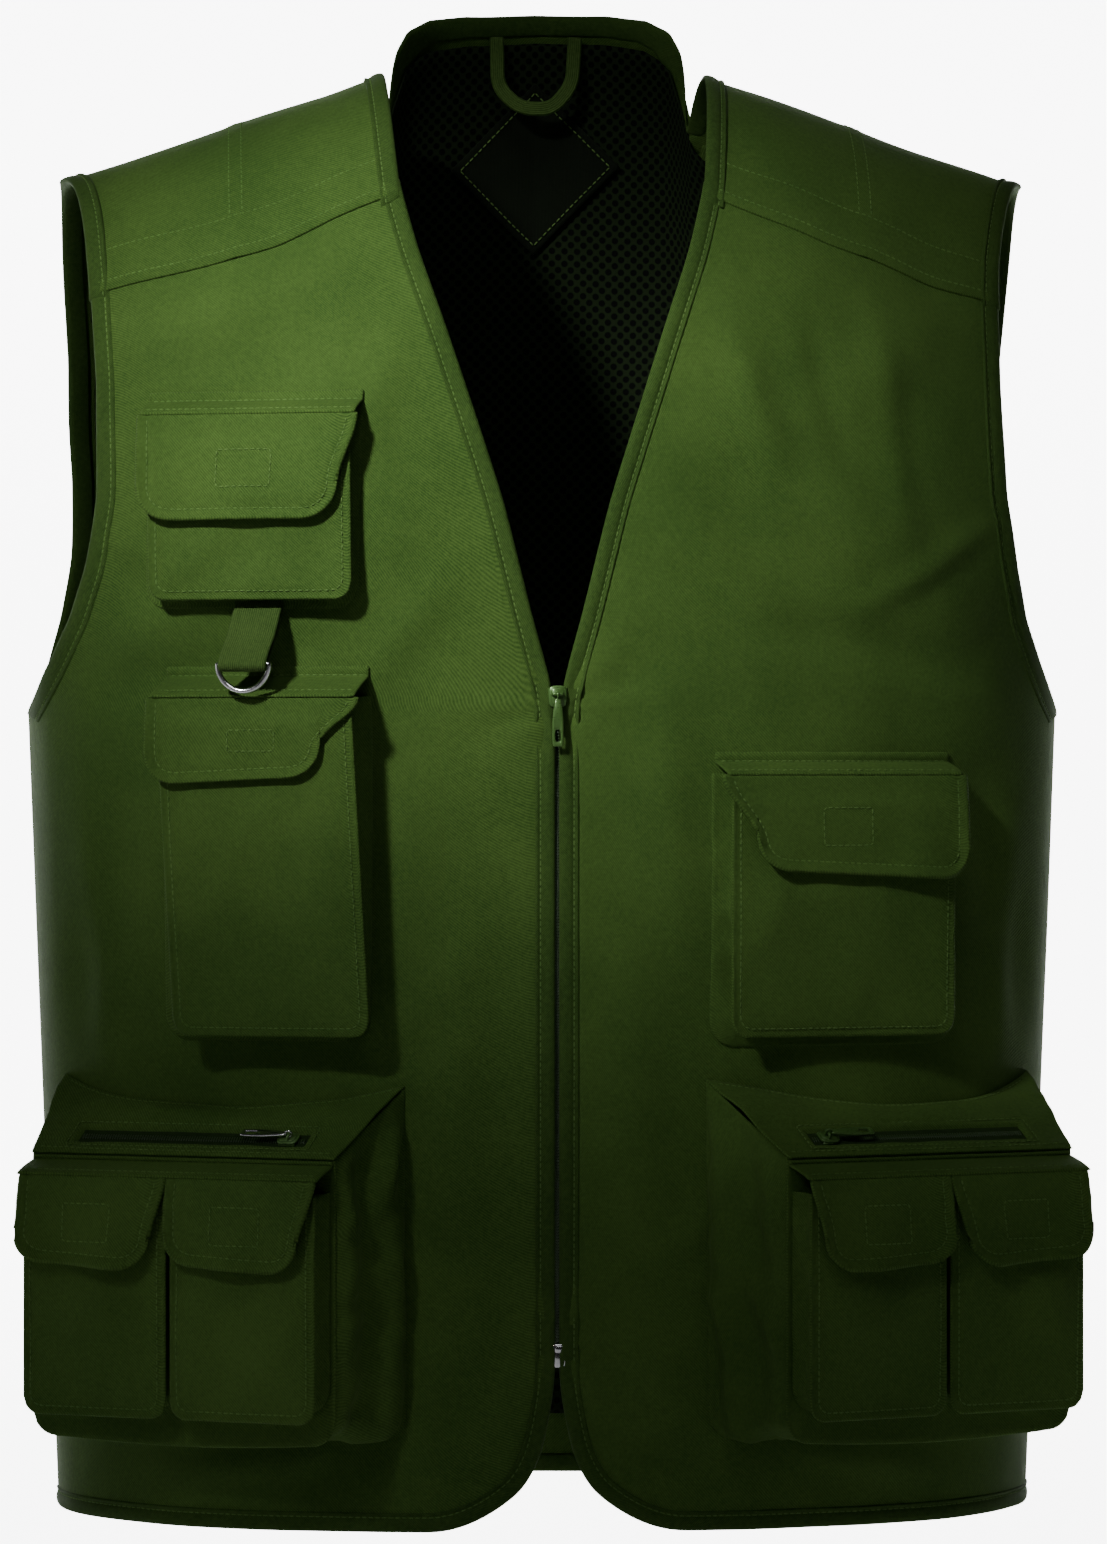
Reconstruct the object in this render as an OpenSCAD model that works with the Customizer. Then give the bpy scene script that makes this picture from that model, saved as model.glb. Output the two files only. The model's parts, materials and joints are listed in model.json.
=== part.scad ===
// Multi-pocket fishing vest with a full length front zip, worn size XL.
// The shapes are built up from the middle of the hem, with Y = 0 at the side seams, and are
// then placed with the origin in the hanging loop. +Z is up and the front faces -Y.
// Most shapes are made for the wearer's left half (+X) and mirrored for the right half.

/* [Torso] */
// Half width of the vest at the hem
hem_half = 240; // [225:1:255]
// Half width of the vest at the underarm
chest_half = 255; // [240:1:275]
// Height of the underarm above the hem
underarm_z = 391; // [380:1:400]
// Depth of the front from the side seam
front_depth = 138; // [125:1:150]
// Depth of the back from the side seam
back_depth = 112; // [95:1:130]
// Height of the neck points above the hem
neck_z = 708; // [695:1:720]
// Half width of the neck at the shoulder
neck_half = 80; // [76:1:84]
// Drop of the shoulder for each millimetre outwards
shoulder_slope = 0.34; // [0.28:0.01:0.4]

/* [Cloth] */
// Thickness of the twill panels
cloth_t = 1.2; // [0.8:0.1:1.6]
// Width of the binding tape on the edges
binding_w = 8.5; // [6:0.5:11]
// Thickness of the folded binding tape
binding_t = 2.6; // [2:0.1:3]
// Gap left where the fronts meet the back and the yokes
seam_gap = 1.6; // [1.2:0.1:2.4]

/* [Main zip] */
// Height of the closed slider above the hem
zip_top_z = 402; // [395:1:410]
// Height of the bottom box above the hem
zip_box_z = 78; // [70:1:90]
// Half width of the slot between the front edges
slot_half = 1.6; // [1.4:0.1:2.4]

/* [Pockets] */
// Depth of the chest pockets
chest_pocket_d = 17; // [14:1:20]
// Depth of the tall pocket
tall_pocket_d = 27; // [22:1:30]
// Depth of the small pockets on the cargo pockets
small_pocket_d = 15; // [12:1:18]
// Height of the cargo pocket's lower edge above the hem
cargo_low_z = 47; // [40:1:56]
// Height of the cargo pocket's face
cargo_face_h = 132; // [124:1:136]

/* [Hidden] */

green = "darkolivegreen";
dark_green = "darkgreen";
steel = "silver";
round_n = 2.4;        // roundness of the torso's plan outline
arch_n = 2.2;         // roundness of the shoulder's side outline
arch_z = 430;         // the fronts and back start to lean in above this height
neck_rise = 122;      // how far the back would rise past the neck if it closed
sew_ease = 2.2;       // gap from a panel's base surface to what is sewn on it
front_bulge = 9;      // how far a front stands out behind the middle of a flat pocket
bottom_gap = 11;      // gap from a pocket's bottom to the base plane that it is placed on
tab_w = 25;           // width of the D-ring's webbing tab
wall = cloth_t;
coil_d0 = -5.1;       // the coils' inner and outer distance from the torso surface
coil_d1 = -3.3;
bridge_r = 0.7;       // radius of the rod that a zip pull hangs on
eye_r = 1.05;         // radius of a pull's eye

// Distance of the front edge from the centre line, by height
edge_table = [[0, 34], [10, 24], [26, 11], [45, 6], [70, slot_half], [zip_top_z - 6, slot_half],
  [zip_top_z + 12, 6], [435, 12], [492, 26], [545, 43], [576, 53], [614, 66], [650, 75],
  [700, 79], [740, 80]];
// Distance of the armhole's edge from the centre line, by height
arm_front_table = [[underarm_z, 255], [400, 249], [415, 241], [437, 231], [460, 225], [495, 220],
  [550, 219], [602, 221], [625, 227], [655, 239]];
arm_back_table = [[underarm_z, 255], [400, 251], [415, 246], [440, 241], [470, 237], [510, 235],
  [570, 235], [620, 238], [655, 239]];
yoke_table = [[70, 645], [85, 638], [133, 618], [180, 604], [225, 592], [260, 588]];
back_neck_table = [[0, 740], [40, 737], [60, 732], [72, 722], [79, 700], [80, 684]];

// ---- The torso's surface ------------------------------------------------------------

function half_w(z) = hem_half + (chest_half - hem_half) * z / underarm_z;
function ridge(x, s) = abs(x) >= neck_half || s < 0
  ? neck_z - (abs(x) - neck_half) * shoulder_slope
  : neck_z + neck_rise * pow(1 - abs(x) / neck_half, 0.6);
function rise(x, z, s) = z <= arch_z ? 0 : min(1, (z - arch_z) / (ridge(x, s) - arch_z));
// A point at a distance d outside the torso. s is -1 on the front and 1 on the back.
function at(x, z, d, s, gap = 0) =
  let (u = min(1, abs(x) / half_w(z)), t = rise(x, z, s),
    across = pow(1 - pow(u, round_n), 1 / round_n),
    lean = pow(1 - pow(t, arch_n), 1 / arch_n),
    depth = (s < 0 ? front_depth : back_depth) + d)
  [sign(x) * u * (half_w(z) + d), s * (depth * across * lean + gap / 2), z + d * t];
function angle_of(x, z) = asin(pow(min(1, abs(x) / half_w(z)), round_n / 2)) * sign(x);
function x_at(angle, z) = sign(angle) * half_w(z) * pow(sin(abs(angle)), 2 / round_n);
// Places from x0 to x1 that crowd together towards the side seam
function spread(x0, x1, z, n) =
  let (a0 = angle_of(x0, z), a1 = angle_of(x1, z)) [for (i = [0:n]) x_at(a0 + (a1 - a0) * i / n, z)];

function edge_x(z) = lookup(z, edge_table);
function arm_x(z, s) = z <= underarm_z ? half_w(z)
  : min(half_w(z), lookup(z, s < 0 ? arm_front_table : arm_back_table));
function yoke_z(x) = lookup(abs(x), yoke_table);
function hem_z(x) = 27 * pow(max(0, 1 - (abs(x) - 10) / 52), 2);

// ---- Building blocks ----------------------------------------------------------------

// A closed sheet between two grids of points of the same size
module sheet_between(outer, inner, flip = false) {
  rows = len(outer);
  cols = len(outer[0]);
  total = rows * cols;
  points = concat([for (r = outer) for (p = r) p], [for (r = inner) for (p = r) p]);
  quads = concat(
    [for (r = [0:rows - 2]) for (c = [0:cols - 2])
      [r * cols + c, (r + 1) * cols + c, (r + 1) * cols + c + 1, r * cols + c + 1]],
    [for (r = [0:rows - 2]) for (c = [0:cols - 2])
      [total + r * cols + c, total + r * cols + c + 1, total + (r + 1) * cols + c + 1,
        total + (r + 1) * cols + c]],
    [for (r = [0:rows - 2])
      [r * cols, total + r * cols, total + (r + 1) * cols, (r + 1) * cols]],
    [for (r = [0:rows - 2])
      [(r + 1) * cols - 1, (r + 2) * cols - 1, total + (r + 2) * cols - 1,
        total + (r + 1) * cols - 1]],
    [for (c = [0:cols - 2]) [c, c + 1, total + c + 1, total + c]],
    [for (c = [0:cols - 2])
      [total - cols + c, 2 * total - cols + c, 2 * total - cols + c + 1, total - cols + c + 1]]);
  triangles = [for (q = quads) each [[q[0], q[1], q[2]], [q[0], q[2], q[3]]]];
  polyhedron(points, flip ? [for (t = triangles) [t[2], t[1], t[0]]] : triangles);
}

// A sheet on the torso from rows of [x, z] places, between the distances d0 and d1
module torso_sheet(places, d0, d1, s, gap = 0) {
  outer = [for (row = places) [for (p = row) at(p[0], p[1], d1, s, gap)]];
  inner = [for (row = places) [for (p = row) at(p[0], p[1], d0, s, gap)]];
  sheet_between(outer, inner, s > 0);
}

// Places the whole vest with the origin in the hanging loop
module hung() {
  translate([0, -hook_y, -hook_z]) children();
}

module right() {
  mirror([1, 0, 0]) children();
}

// Places the children in the frame of a pocket that is sewn on the front, f = [x0, x1, z0, z1]:
// x along the pocket, -y outwards, z up from the pocket's bottom
module on_front(f) {
  a = at(f[0], f[2], 0, -1);
  b = at(f[1], f[2], 0, -1);
  translate([(a.x + b.x) / 2, (a.y + b.y) / 2, f[2]])
    rotate([0, 0, atan2(b.y - a.y, b.x - a.x)]) rotate([front_tilt(f), 0, 0]) children();
}

function front_tilt(f) = let (top = at((f[0] + f[1]) / 2, f[3], 0, -1),
    low = at((f[0] + f[1]) / 2, f[2], 0, -1))
  -atan2(top.y - low.y, f[3] - f[2]);

// Depth and height, in such a frame, of the front's surface at the vest's place [x, z]
function sewn(f, x, z) = let (a = at(f[0], f[2], 0, -1), b = at(f[1], f[2], 0, -1),
    turn = atan2(b.y - a.y, b.x - a.x), tilt = front_tilt(f), p = at(x, z, sew_ease + 1.3, -1),
    dx = p.x - (a.x + b.x) / 2, dy = p.y - (a.y + b.y) / 2, dz = p.z - f[2],
    back = dy * cos(turn) - dx * sin(turn))
  [back * cos(tilt) + dz * sin(tilt), max(0, dz * cos(tilt) - back * sin(tilt))];

// Turns a flat outline so that it stands across the pocket, between y0 and y1
module upright(y0, y1) {
  translate([0, y1, 0]) rotate([90, 0, 0]) linear_extrude(y1 - y0) children();
}

// ---- Torso pieces -------------------------------------------------------------------

side_rows = [60, 120, 180, 240, 300, 350];
arm_rows = [underarm_z, 402, 415, 432, 450, 475, 505, 535, 565];

// Rows of places on a front from the hem binding to the yoke, between two edge functions
function front_rows(cols) =
  let (rows = concat(side_rows, arm_rows))
  concat(
    [[for (x = spread(edge_x(12) + binding_w, half_w(binding_w), binding_w, cols))
      [x, hem_z(x) + binding_w]]],
    [for (z = rows) [for (x = spread(edge_x(z) + binding_w,
      arm_x(z, -1) - (z > underarm_z ? binding_w : 0), z, cols)) [x, z]]],
    [for (f = [0.5, 1]) [for (x = spread(edge_x(625) + binding_w, arm_x(600, -1) - binding_w - 1.4,
      600, cols)) [x, 565 + (yoke_z(x) - 565) * f]]]);

module front_panel() {
  torso_sheet(front_rows(9), 0, cloth_t, -1, seam_gap);
}

module edge_binding() {
  rows = concat([12, 26, 45], side_rows, arm_rows, [595, 627]);
  torso_sheet([for (z = rows) [for (w = [0, binding_w]) [edge_x(z) + w, z]]],
    cloth_t - binding_t, binding_t - 0.6, -1, seam_gap);
}

module front_armhole_binding() {
  rows = concat([for (z = arm_rows) if (z > underarm_z) z], [590]);
  torso_sheet([for (z = rows) [for (w = [binding_w, 0]) [arm_x(z, -1) - w, z]]],
    -1.2, binding_t - 0.6, -1, seam_gap);
}

module front_hem_binding() {
  torso_sheet([for (w = [0, binding_w - 0.3])
    [for (x = spread(edge_x(12) + binding_w, half_w(w), w, 9)) [x, hem_z(x) + w]]],
    -1.2, binding_t - 0.6, -1, seam_gap);
}

module front_panel_left() {
  color(green) front_panel();
}

module front_panel_right() {
  color(green) right() front_panel();
}

module front_edge_binding_left() {
  color(dark_green) edge_binding();
}

module front_edge_binding_right() {
  color(dark_green) right() edge_binding();
}

module armhole_binding_left() {
  color(dark_green) front_armhole_binding();
}

module armhole_binding_right() {
  color(dark_green) right() front_armhole_binding();
}

module hem_binding_left() {
  color(dark_green) front_hem_binding();
}

module hem_binding_right() {
  color(dark_green) right() front_hem_binding();
}

// The back, from the hem to the seam behind the shoulders and the neck
back_seam_t = 0.9;
function back_top(x) = abs(x) < neck_half ? lookup(abs(x), back_neck_table)
  : arch_z + back_seam_t * (ridge(x, 1) - arch_z);

// Rows of places on the back, held in from the sides by side_in and from the top by top_in
function back_rows(zs, side_in, top_in) =
  let (turns = [-90, -75, -62, -50, -40, -31, -25, -20.6, -14, -7, 0, 7, 14, 20.6, 25, 31, 40, 50,
    62, 75, 90])
  concat(
    [for (z = zs) let (w = arm_x(z, 1) - (z > underarm_z ? binding_w : 0) - side_in)
      [for (a = turns) [x_at(a / 90 * angle_of(w, z), z), z]]],
    [for (f = [0.3, 0.65, 1]) let (w = 238 - binding_w - side_in)
      [for (a = turns) let (x = x_at(a / 90 * angle_of(w, 640), 640))
        [x, 600 + (back_top(x) - top_in - 600) * f]]]);

module back_panel() {
  color(green)
    torso_sheet(back_rows(concat([binding_w], side_rows, arm_rows, [600]), 0, 0),
      0, cloth_t, 1, seam_gap);
}

module back_hem_binding() {
  color(dark_green)
    torso_sheet([for (z = [0, binding_w - 0.3])
      [for (x = spread(-half_w(z), half_w(z), z, 20)) [x, z]]], -1.2, 2, 1, seam_gap);
}

module mesh_lining() {
  color("black")
    torso_sheet(back_rows(concat([30], side_rows, arm_rows, [600]), 10, 8), -4, -3.2, 1, 0);
}

// A shoulder yoke, from the front seam over the shoulder to the seam behind it.
// turn is 0 at the front seam, 0.5 on the shoulder's ridge and 1 at the back seam.
function yoke_lift(x, turn) = let (
    front_t = (yoke_z(x) + seam_gap - arch_z) / (ridge(x, -1) - arch_z),
    start = asin(pow(front_t, arch_n / 2)),
    finish = asin(pow(back_seam_t + 0.006, arch_n / 2)))
  turn <= 0.5 ? start + (90 - start) * turn * 2 : 90 - (90 - finish) * (turn - 0.5) * 2;
function yoke_point(x, turn, d) = let (
    t = pow(sin(yoke_lift(x, turn)), 2 / arch_n),
    z = arch_z + t * (ridge(x, -1) - arch_z),
    s = turn < 0.5 ? -1 : 1,
    flat = at(x, z, d, s))
  abs(turn - 0.5) < 0.01 ? [flat.x, 0, ridge(x, -1) + d] : flat;
yoke_turns = [0, 0.1, 0.2, 0.3, 0.4, 0.5, 0.65, 0.8, 1];
function yoke_in(turn) = neck_half - (turn < 0.5 ? 9 * pow(1 - turn * 2, 2) : 0);
function yoke_out(turn) = turn <= 0.5 ? 221 + 18 * pow(turn * 2, 1.4) : 239 - 2 * (turn - 0.5);

module yoke_strip(from_edge, to_edge, d0, d1, cols) {
  places = [for (turn = yoke_turns) let (x0 = yoke_in(turn), x1 = yoke_out(turn))
    [for (c = [0:cols]) x0 + from_edge + (x1 - to_edge - x0 - from_edge) * c / cols]];
  rows = len(yoke_turns) - 1;
  sheet_between(
    [for (r = [0:rows]) [for (x = places[r]) yoke_point(x, yoke_turns[r], d1)]],
    [for (r = [0:rows]) [for (x = places[r]) yoke_point(x, yoke_turns[r], d0)]]);
}

module yoke() {
  yoke_strip(binding_w, binding_w, 0, cloth_t, 6);
}

module yoke_left() {
  color(green) yoke();
}

module yoke_right() {
  color(green) right() yoke();
}

// A strip of binding on the yoke's neck edge (0) or armhole edge (1)
module yoke_binding(outside) {
  far = [for (turn = yoke_turns) outside ? yoke_out(turn) : yoke_in(turn) + binding_w];
  near = [for (turn = yoke_turns) outside ? yoke_out(turn) - binding_w : yoke_in(turn)];
  rows = len(yoke_turns) - 1;
  sheet_between(
    [for (r = [0:rows]) [for (x = [near[r], far[r]]) yoke_point(x, yoke_turns[r], 2)]],
    [for (r = [0:rows]) [for (x = [near[r], far[r]]) yoke_point(x, yoke_turns[r], -1.2)]]);
}

module neck_binding() {
  xs = [for (i = [-8:8]) 78 * sin(i * 90 / 8)];
  color(dark_green) {
    yoke_binding(false);
    right() yoke_binding(false);
    torso_sheet([for (w = [1.2, binding_w]) [for (x = xs) [x, lookup(abs(x), back_neck_table) + w]]],
      -1.2, 2, 1, seam_gap);
  }
}

module back_armhole_binding() {
  rows = concat([for (z = arm_rows) if (z > underarm_z) z], [600, 625]);
  yoke_binding(true);
  torso_sheet([for (z = rows) [for (w = [binding_w, 0]) [arm_x(z, 1) - w, z]]],
    -1.2, 2, 1, seam_gap);
}

module back_armhole_binding_left() {
  color(dark_green) back_armhole_binding();
}

module back_armhole_binding_right() {
  color(dark_green) right() back_armhole_binding();
}

// Hanging loop: a flat strap in a U below the back neck, sewn at both ends
hook_y = 66.7;
hook_z = 722;
loop_y = 66;
loop_top_z = 733;
loop_half = 20;
loop_drop = 33;
module hanging_loop() {
  color(green)
    translate([0, 0, loop_top_z])
      upright(loop_y, loop_y + 1.4) difference() {
        union() {
          translate([-loop_half, -loop_drop + 14]) square([2 * loop_half, loop_drop - 14]);
          translate([0, -loop_drop + 14]) scale([1, 0.7]) circle(r = loop_half, $fn = 48);
        }
        union() {
          translate([-loop_half + 5, -loop_drop + 14])
            square([2 * loop_half - 10, loop_drop]);
          translate([0, -loop_drop + 14]) scale([1, 0.6]) circle(r = loop_half - 5, $fn = 48);
        }
      }
}

// Square patch sewn on its corner to the lining
patch_z = 676;
patch_half = 44;
module lining_patch() {
  steps = 4;
  color("darkslategray")
    torso_sheet([for (j = [0:steps]) [for (i = [0:steps])
      let (u = (i - j) / steps, v = (i + j) / steps - 1)
      [u * patch_half, patch_z + v * patch_half]]],
      -7.6, -6.6, 1, 0);
}

// ---- Main zip -----------------------------------------------------------------------

zip_y = -front_depth - seam_gap / 2;

// A strip of the zip that hangs straight behind the front edges
module zip_strip(x0, x1, d0, d1, z0) {
  translate([x0, zip_y - d1, z0]) cube([x1 - x0, d1 - d0, zip_top_z - 8 - z0]);
}

module zip_tape() {
  zip_strip(3.8, 15, -4.7, -3.7, zip_box_z - 6);
}

module zip_coil() {
  zip_strip(1.2, 3.8, coil_d0, coil_d1, zip_box_z + 12);
}

module main_zip_tape_left() {
  color(dark_green) zip_tape();
}

module main_zip_tape_right() {
  color(dark_green) right() zip_tape();
}

module main_zip_coil_left() {
  color("darkslategray") zip_coil();
}

module main_zip_coil_right() {
  color("darkslategray") right() zip_coil();
}

module zip_box() {
  color(steel)
    translate([-1, zip_y - coil_d1 - 0.4, zip_box_z]) difference() {
      cube([4.8, 2.8, 11.5]);
      translate([1.2, -1, 3]) cube([2.4, 5, 2.5]);
    }
}

module zip_pin() {
  color(steel) translate([-3.6, zip_y - coil_d1, zip_box_z]) cube([2, 1.8, 11.7]);
}

// Rod between two posts that a pull hangs on. The rod runs along X at the origin.
module pull_bridge(post_gap, post_h) {
  post_w = 0.9;
  for (side = [-1, 1])
    translate([side * (post_gap + post_w) / 2 - post_w / 2, -bridge_r, -bridge_r])
      cube([post_w, post_h, 2 * bridge_r]);
  rotate([0, 90, 0])
    cylinder(r = bridge_r, h = post_gap + 2 * post_w, center = true, $fn = 32);
}

// A pull with a round eye on X, hanging down from it
module pull_tab(w, len, t) {
  rotate([0, 90, 0]) difference() {
    cylinder(r = eye_r + 0.9, h = w * 0.55, center = true, $fn = 32);
    cylinder(r = eye_r, h = w, center = true, $fn = 32);
  }
  upright(-t / 2, t / 2) difference() {
    translate([-w / 2, -len]) square([w, len - eye_r - 0.6]);
    translate([-w / 2 + 1.2, -len + 1.5]) square([w - 2.4, len * 0.24]);
  }
}

// The slider: two plates joined by a wedge between the coils, and a bridge in front
slider_z = zip_top_z - 9;
bridge_y = zip_y - 5.9;
module main_slider() {
  color(green) {
    translate([-4.4, zip_y + 1.8, slider_z]) cube([8.8, 1, 10]);
    translate([-4.4, zip_y + 5.6, slider_z]) cube([8.8, 1, 10]);
    translate([-0.9, zip_y + 2.6, slider_z + 5]) cube([1.8, 3.2, 4.5]);
    translate([-1, zip_y - 2.6, slider_z + 2]) cube([2, 4.6, 7]);
    translate([-2.6, zip_y - 3.4, slider_z + 2]) cube([5.2, 0.9, 7]);
    translate([0, bridge_y, slider_z + 6]) pull_bridge(3.4, 3.6);
  }
}

module main_pull() {
  color(green) translate([0, bridge_y, slider_z + 6]) pull_tab(5.4, 27, 1.2);
}

// ---- Flat pockets -------------------------------------------------------------------

// A pleated pocket in the frame f: the face, two side walls and the bottom wall
module pleated_pocket(f, w, h, d) {
  upright(-d, -d + wall) translate([-w / 2, 0]) square([w, h]);
  for (side = [-1, 1])
    translate([side * (w / 2 - wall / 2) - wall / 2, 0, 0]) rotate([90, 0, 90])
      linear_extrude(wall) polygon(concat([[-d + wall, h], [-d + wall, 0]],
        [for (i = [0:6]) sewn(f, side < 0 ? f[0] : f[1], f[2] + h * i / 6)]));
  translate([-w / 2 + wall, -d + wall, 0]) cube([w - 2 * wall, d - wall - bottom_gap, wall]);
}

// The band above a pocket, from the front panel out to the flap's hinge line
module sloping_band(w, h, d, up) {
  translate([w / 2, 0, h]) rotate([0, -90, 0])
    linear_extrude(w)
      polygon([[up, -front_bulge], [up + 4, -front_bulge], [up + 4, -front_bulge - 2],
        [2.6, -d - 1.5], [1.6, -d - 0.2]]);
}

// A flap with rounded lower corners. inner_cut and outer_cut bring its lower corners in.
module flap(w, h, inner_cut, outer_cut) {
  corner = 9;
  rotate([0, 90, 0]) cylinder(r = 0.8, h = w, center = true, $fn = 24);
  upright(-0.8, 0.8) difference() {
    hull() {
      translate([-w / 2, -2]) square([w, 2]);
      translate([-w / 2 + inner_cut + corner, -h + corner]) circle(r = corner, $fn = 32);
      translate([w / 2 - outer_cut - corner, -h + corner]) circle(r = corner, $fn = 32);
    }
  }
}

flap_out = 2.2;       // how far a flap's middle lies in front of its pocket's face

chest_right_at = [97, 192, 443, 540];
tall_at = [88, 186, 237, 400];
chest_left_at = [76, 190, 236, 366];

module chest_right_frame() {
  right() on_front(chest_right_at) children();
}

module tall_frame() {
  right() on_front(tall_at) children();
}

module chest_left_frame() {
  on_front(chest_left_at) children();
}

chest_right_w = 100;
chest_right_h = 88;
tall_w = 96;
tall_h = 160;
chest_left_w = 114;
chest_left_h = 124;

module chest_pocket_right() {
  color(green) chest_right_frame()
    pleated_pocket(chest_right_at, chest_right_w, chest_right_h, chest_pocket_d);
}

module chest_band_right() {
  color(green) chest_right_frame()
    sloping_band(chest_right_w + 6, chest_right_h, chest_pocket_d, 8);
}

module chest_flap_right() {
  color(green) chest_right_frame()
    translate([0, -chest_pocket_d - flap_out, chest_right_h]) flap(chest_right_w + 8, 50, 12, 0);
}

module tall_pocket() {
  color(green) tall_frame()
    pleated_pocket(tall_at, tall_w, tall_h, tall_pocket_d);
}

module tall_band() {
  color(green) tall_frame() sloping_band(tall_w + 4, tall_h, tall_pocket_d, 10);
}

module tall_flap() {
  color(green) tall_frame()
    translate([0, -tall_pocket_d - flap_out, tall_h]) flap(tall_w + 8, 38, 18, 0);
}

module chest_pocket_left() {
  color(green) chest_left_frame()
    pleated_pocket(chest_left_at, chest_left_w, chest_left_h, chest_pocket_d);
}

module chest_band_left() {
  color(green) chest_left_frame()
    sloping_band(chest_left_w + 6, chest_left_h, chest_pocket_d, 6);
}

module chest_flap_left() {
  color(green) chest_left_frame()
    translate([0, -chest_pocket_d - flap_out, chest_left_h]) flap(chest_left_w + 10, 46, 16, 0);
}

// ---- D-ring and its tab -------------------------------------------------------------

ring_bar_z = 176;     // height of the ring's bar in the tall pocket's frame
ring_y = -tall_pocket_d - 9;
ring_r = 12.5;
ring_wire_r = 1.4;
module ring_place() {
  tall_frame() translate([2, ring_y, ring_bar_z]) children();
}

module ring_tab() {
  shell_r = ring_wire_r + 1.9;
  color(dark_green) ring_place() rotate([90, 0, 90])
    linear_extrude(tab_w - 4.4, center = true) difference() {
      union() {
        circle(r = shell_r, $fn = 32);
        rotate(-50) translate([-1.1, 0]) square([2.2, shell_r + 29]);
      }
      circle(r = ring_wire_r + 0.6, $fn = 32);
    }
}

module d_ring() {
  color(steel) ring_place() {
    rotate([0, 90, 0])
      cylinder(r = ring_wire_r, h = 2 * ring_r, center = true, $fn = 32);
    intersection() {
      rotate([90, 0, 0]) rotate_extrude($fn = 64)
        translate([ring_r, 0]) circle(r = ring_wire_r, $fn = 24);
      translate([-20, -5, -40]) cube([40, 10, 40]);
    }
    for (side = [-1, 1])
      translate([side * ring_r, 0, 0]) sphere(r = ring_wire_r, $fn = 24);
  }
}

// ---- Cargo pockets ------------------------------------------------------------------

cargo_in = [107, -178];       // the face's inner and outer corners in plan
cargo_out = [250, -112];
cargo_w = norm(cargo_out - cargo_in);
cargo_angle = atan2(cargo_out.y - cargo_in.y, cargo_out.x - cargo_in.x);
cargo_mid = (cargo_in + cargo_out) / 2;
cargo_top_z = cargo_low_z + cargo_face_h;
cargo_sew_in = 72;            // where the pocket is sewn to the front
cargo_sew_out = 235;
top_slope = 32;               // angle of the sloping top panel
zip_v0 = 9;                   // the zip window along the sloping top panel
zip_v1 = 21;
zip_half = 60;

module cargo_frame(z) {
  translate([cargo_mid.x, cargo_mid.y, z]) rotate([0, 0, cargo_angle]) children();
}

// A plan point on the torso as seen from the cargo pocket's frame
function cargo_local(p) = let (dx = p.x - cargo_mid.x, dy = p.y - cargo_mid.y)
  [dx * cos(cargo_angle) + dy * sin(cargo_angle), dy * cos(cargo_angle) - dx * sin(cargo_angle)];
cargo_line = [for (x = [cargo_sew_out:(cargo_sew_in - cargo_sew_out) / 8:cargo_sew_in])
  let (p = at(x, cargo_top_z, sew_ease, -1)) cargo_local([p.x, p.y])];

module cargo_pocket() {
  half = cargo_w / 2;
  outer = cargo_line[0];
  inner = cargo_line[len(cargo_line) - 1];
  cargo_frame(cargo_low_z) {
    translate([-half, 0, 0]) cube([cargo_w, wall, cargo_face_h]);
    linear_extrude(cargo_face_h)
      polygon([[half - wall, wall], [half, wall], outer, [outer.x - wall, outer.y]]);
    linear_extrude(cargo_face_h)
      polygon([[-half, wall], [-half + wall, wall], [inner.x + wall, inner.y], inner]);
    linear_extrude(wall)
      polygon(concat([[-half + wall, wall], [half - wall, wall]],
        [for (p = cargo_line) [p.x * 0.985, p.y - 1]]));
  }
}

// Turns the children into the plane of the sloping top panel: x along it, y up the slope
module on_cargo_top() {
  cargo_frame(cargo_top_z + 0.4) rotate([top_slope, 0, 0]) children();
}

module cargo_top() {
  half = cargo_w / 2;
  on_cargo_top() linear_extrude(wall) difference() {
    polygon(concat([[-half, 0], [half, 0]],
      [for (p = cargo_line) [p.x, (p.y - 0.5) / cos(top_slope)]]));
    translate([-zip_half, zip_v0]) square([2 * zip_half, zip_v1 - zip_v0]);
  }
}

zip_vc = (zip_v0 + zip_v1) / 2;
module cargo_zip() {
  on_cargo_top() {
    translate([-zip_half - 3, zip_v0 - 3, -1.4])
      cube([2 * zip_half + 6, zip_v1 - zip_v0 + 6, 1]);
    translate([-zip_half + 1, zip_vc - 2, -0.4]) cube([2 * zip_half - 2, 4, 1]);
  }
}

cargo_slide_x = zip_half - 9;
cargo_rod_h = 4.2;
module cargo_slider() {
  on_cargo_top() translate([-cargo_slide_x, zip_vc, 0]) {
    translate([-5, -3.6, 1]) cube([10, 7.2, 0.9]);
    for (side = [-1, 1])
      translate([-5, side * 3 - 0.6, 0]) cube([10, 1.2, 1]);
    translate([0, 0, cargo_rod_h]) rotate([0, 0, 90]) rotate([-90, 0, 0])
      pull_bridge(3, 3.2);
  }
}

module cargo_pull() {
  on_cargo_top() translate([-cargo_slide_x, zip_vc, cargo_rod_h])
    rotate([0, 0, 90]) rotate([-90, 0, 0]) pull_tab(5, 24, 1.1);
}

small_w = 74;
small_h = 106;
small_gap = 3;
small_top = cargo_face_h - 9;
module small_place(place) {
  cargo_frame(cargo_low_z + small_top - small_h)
    translate([place * (small_w + small_gap) / 2, -0.6, 0]) children();
}

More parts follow.
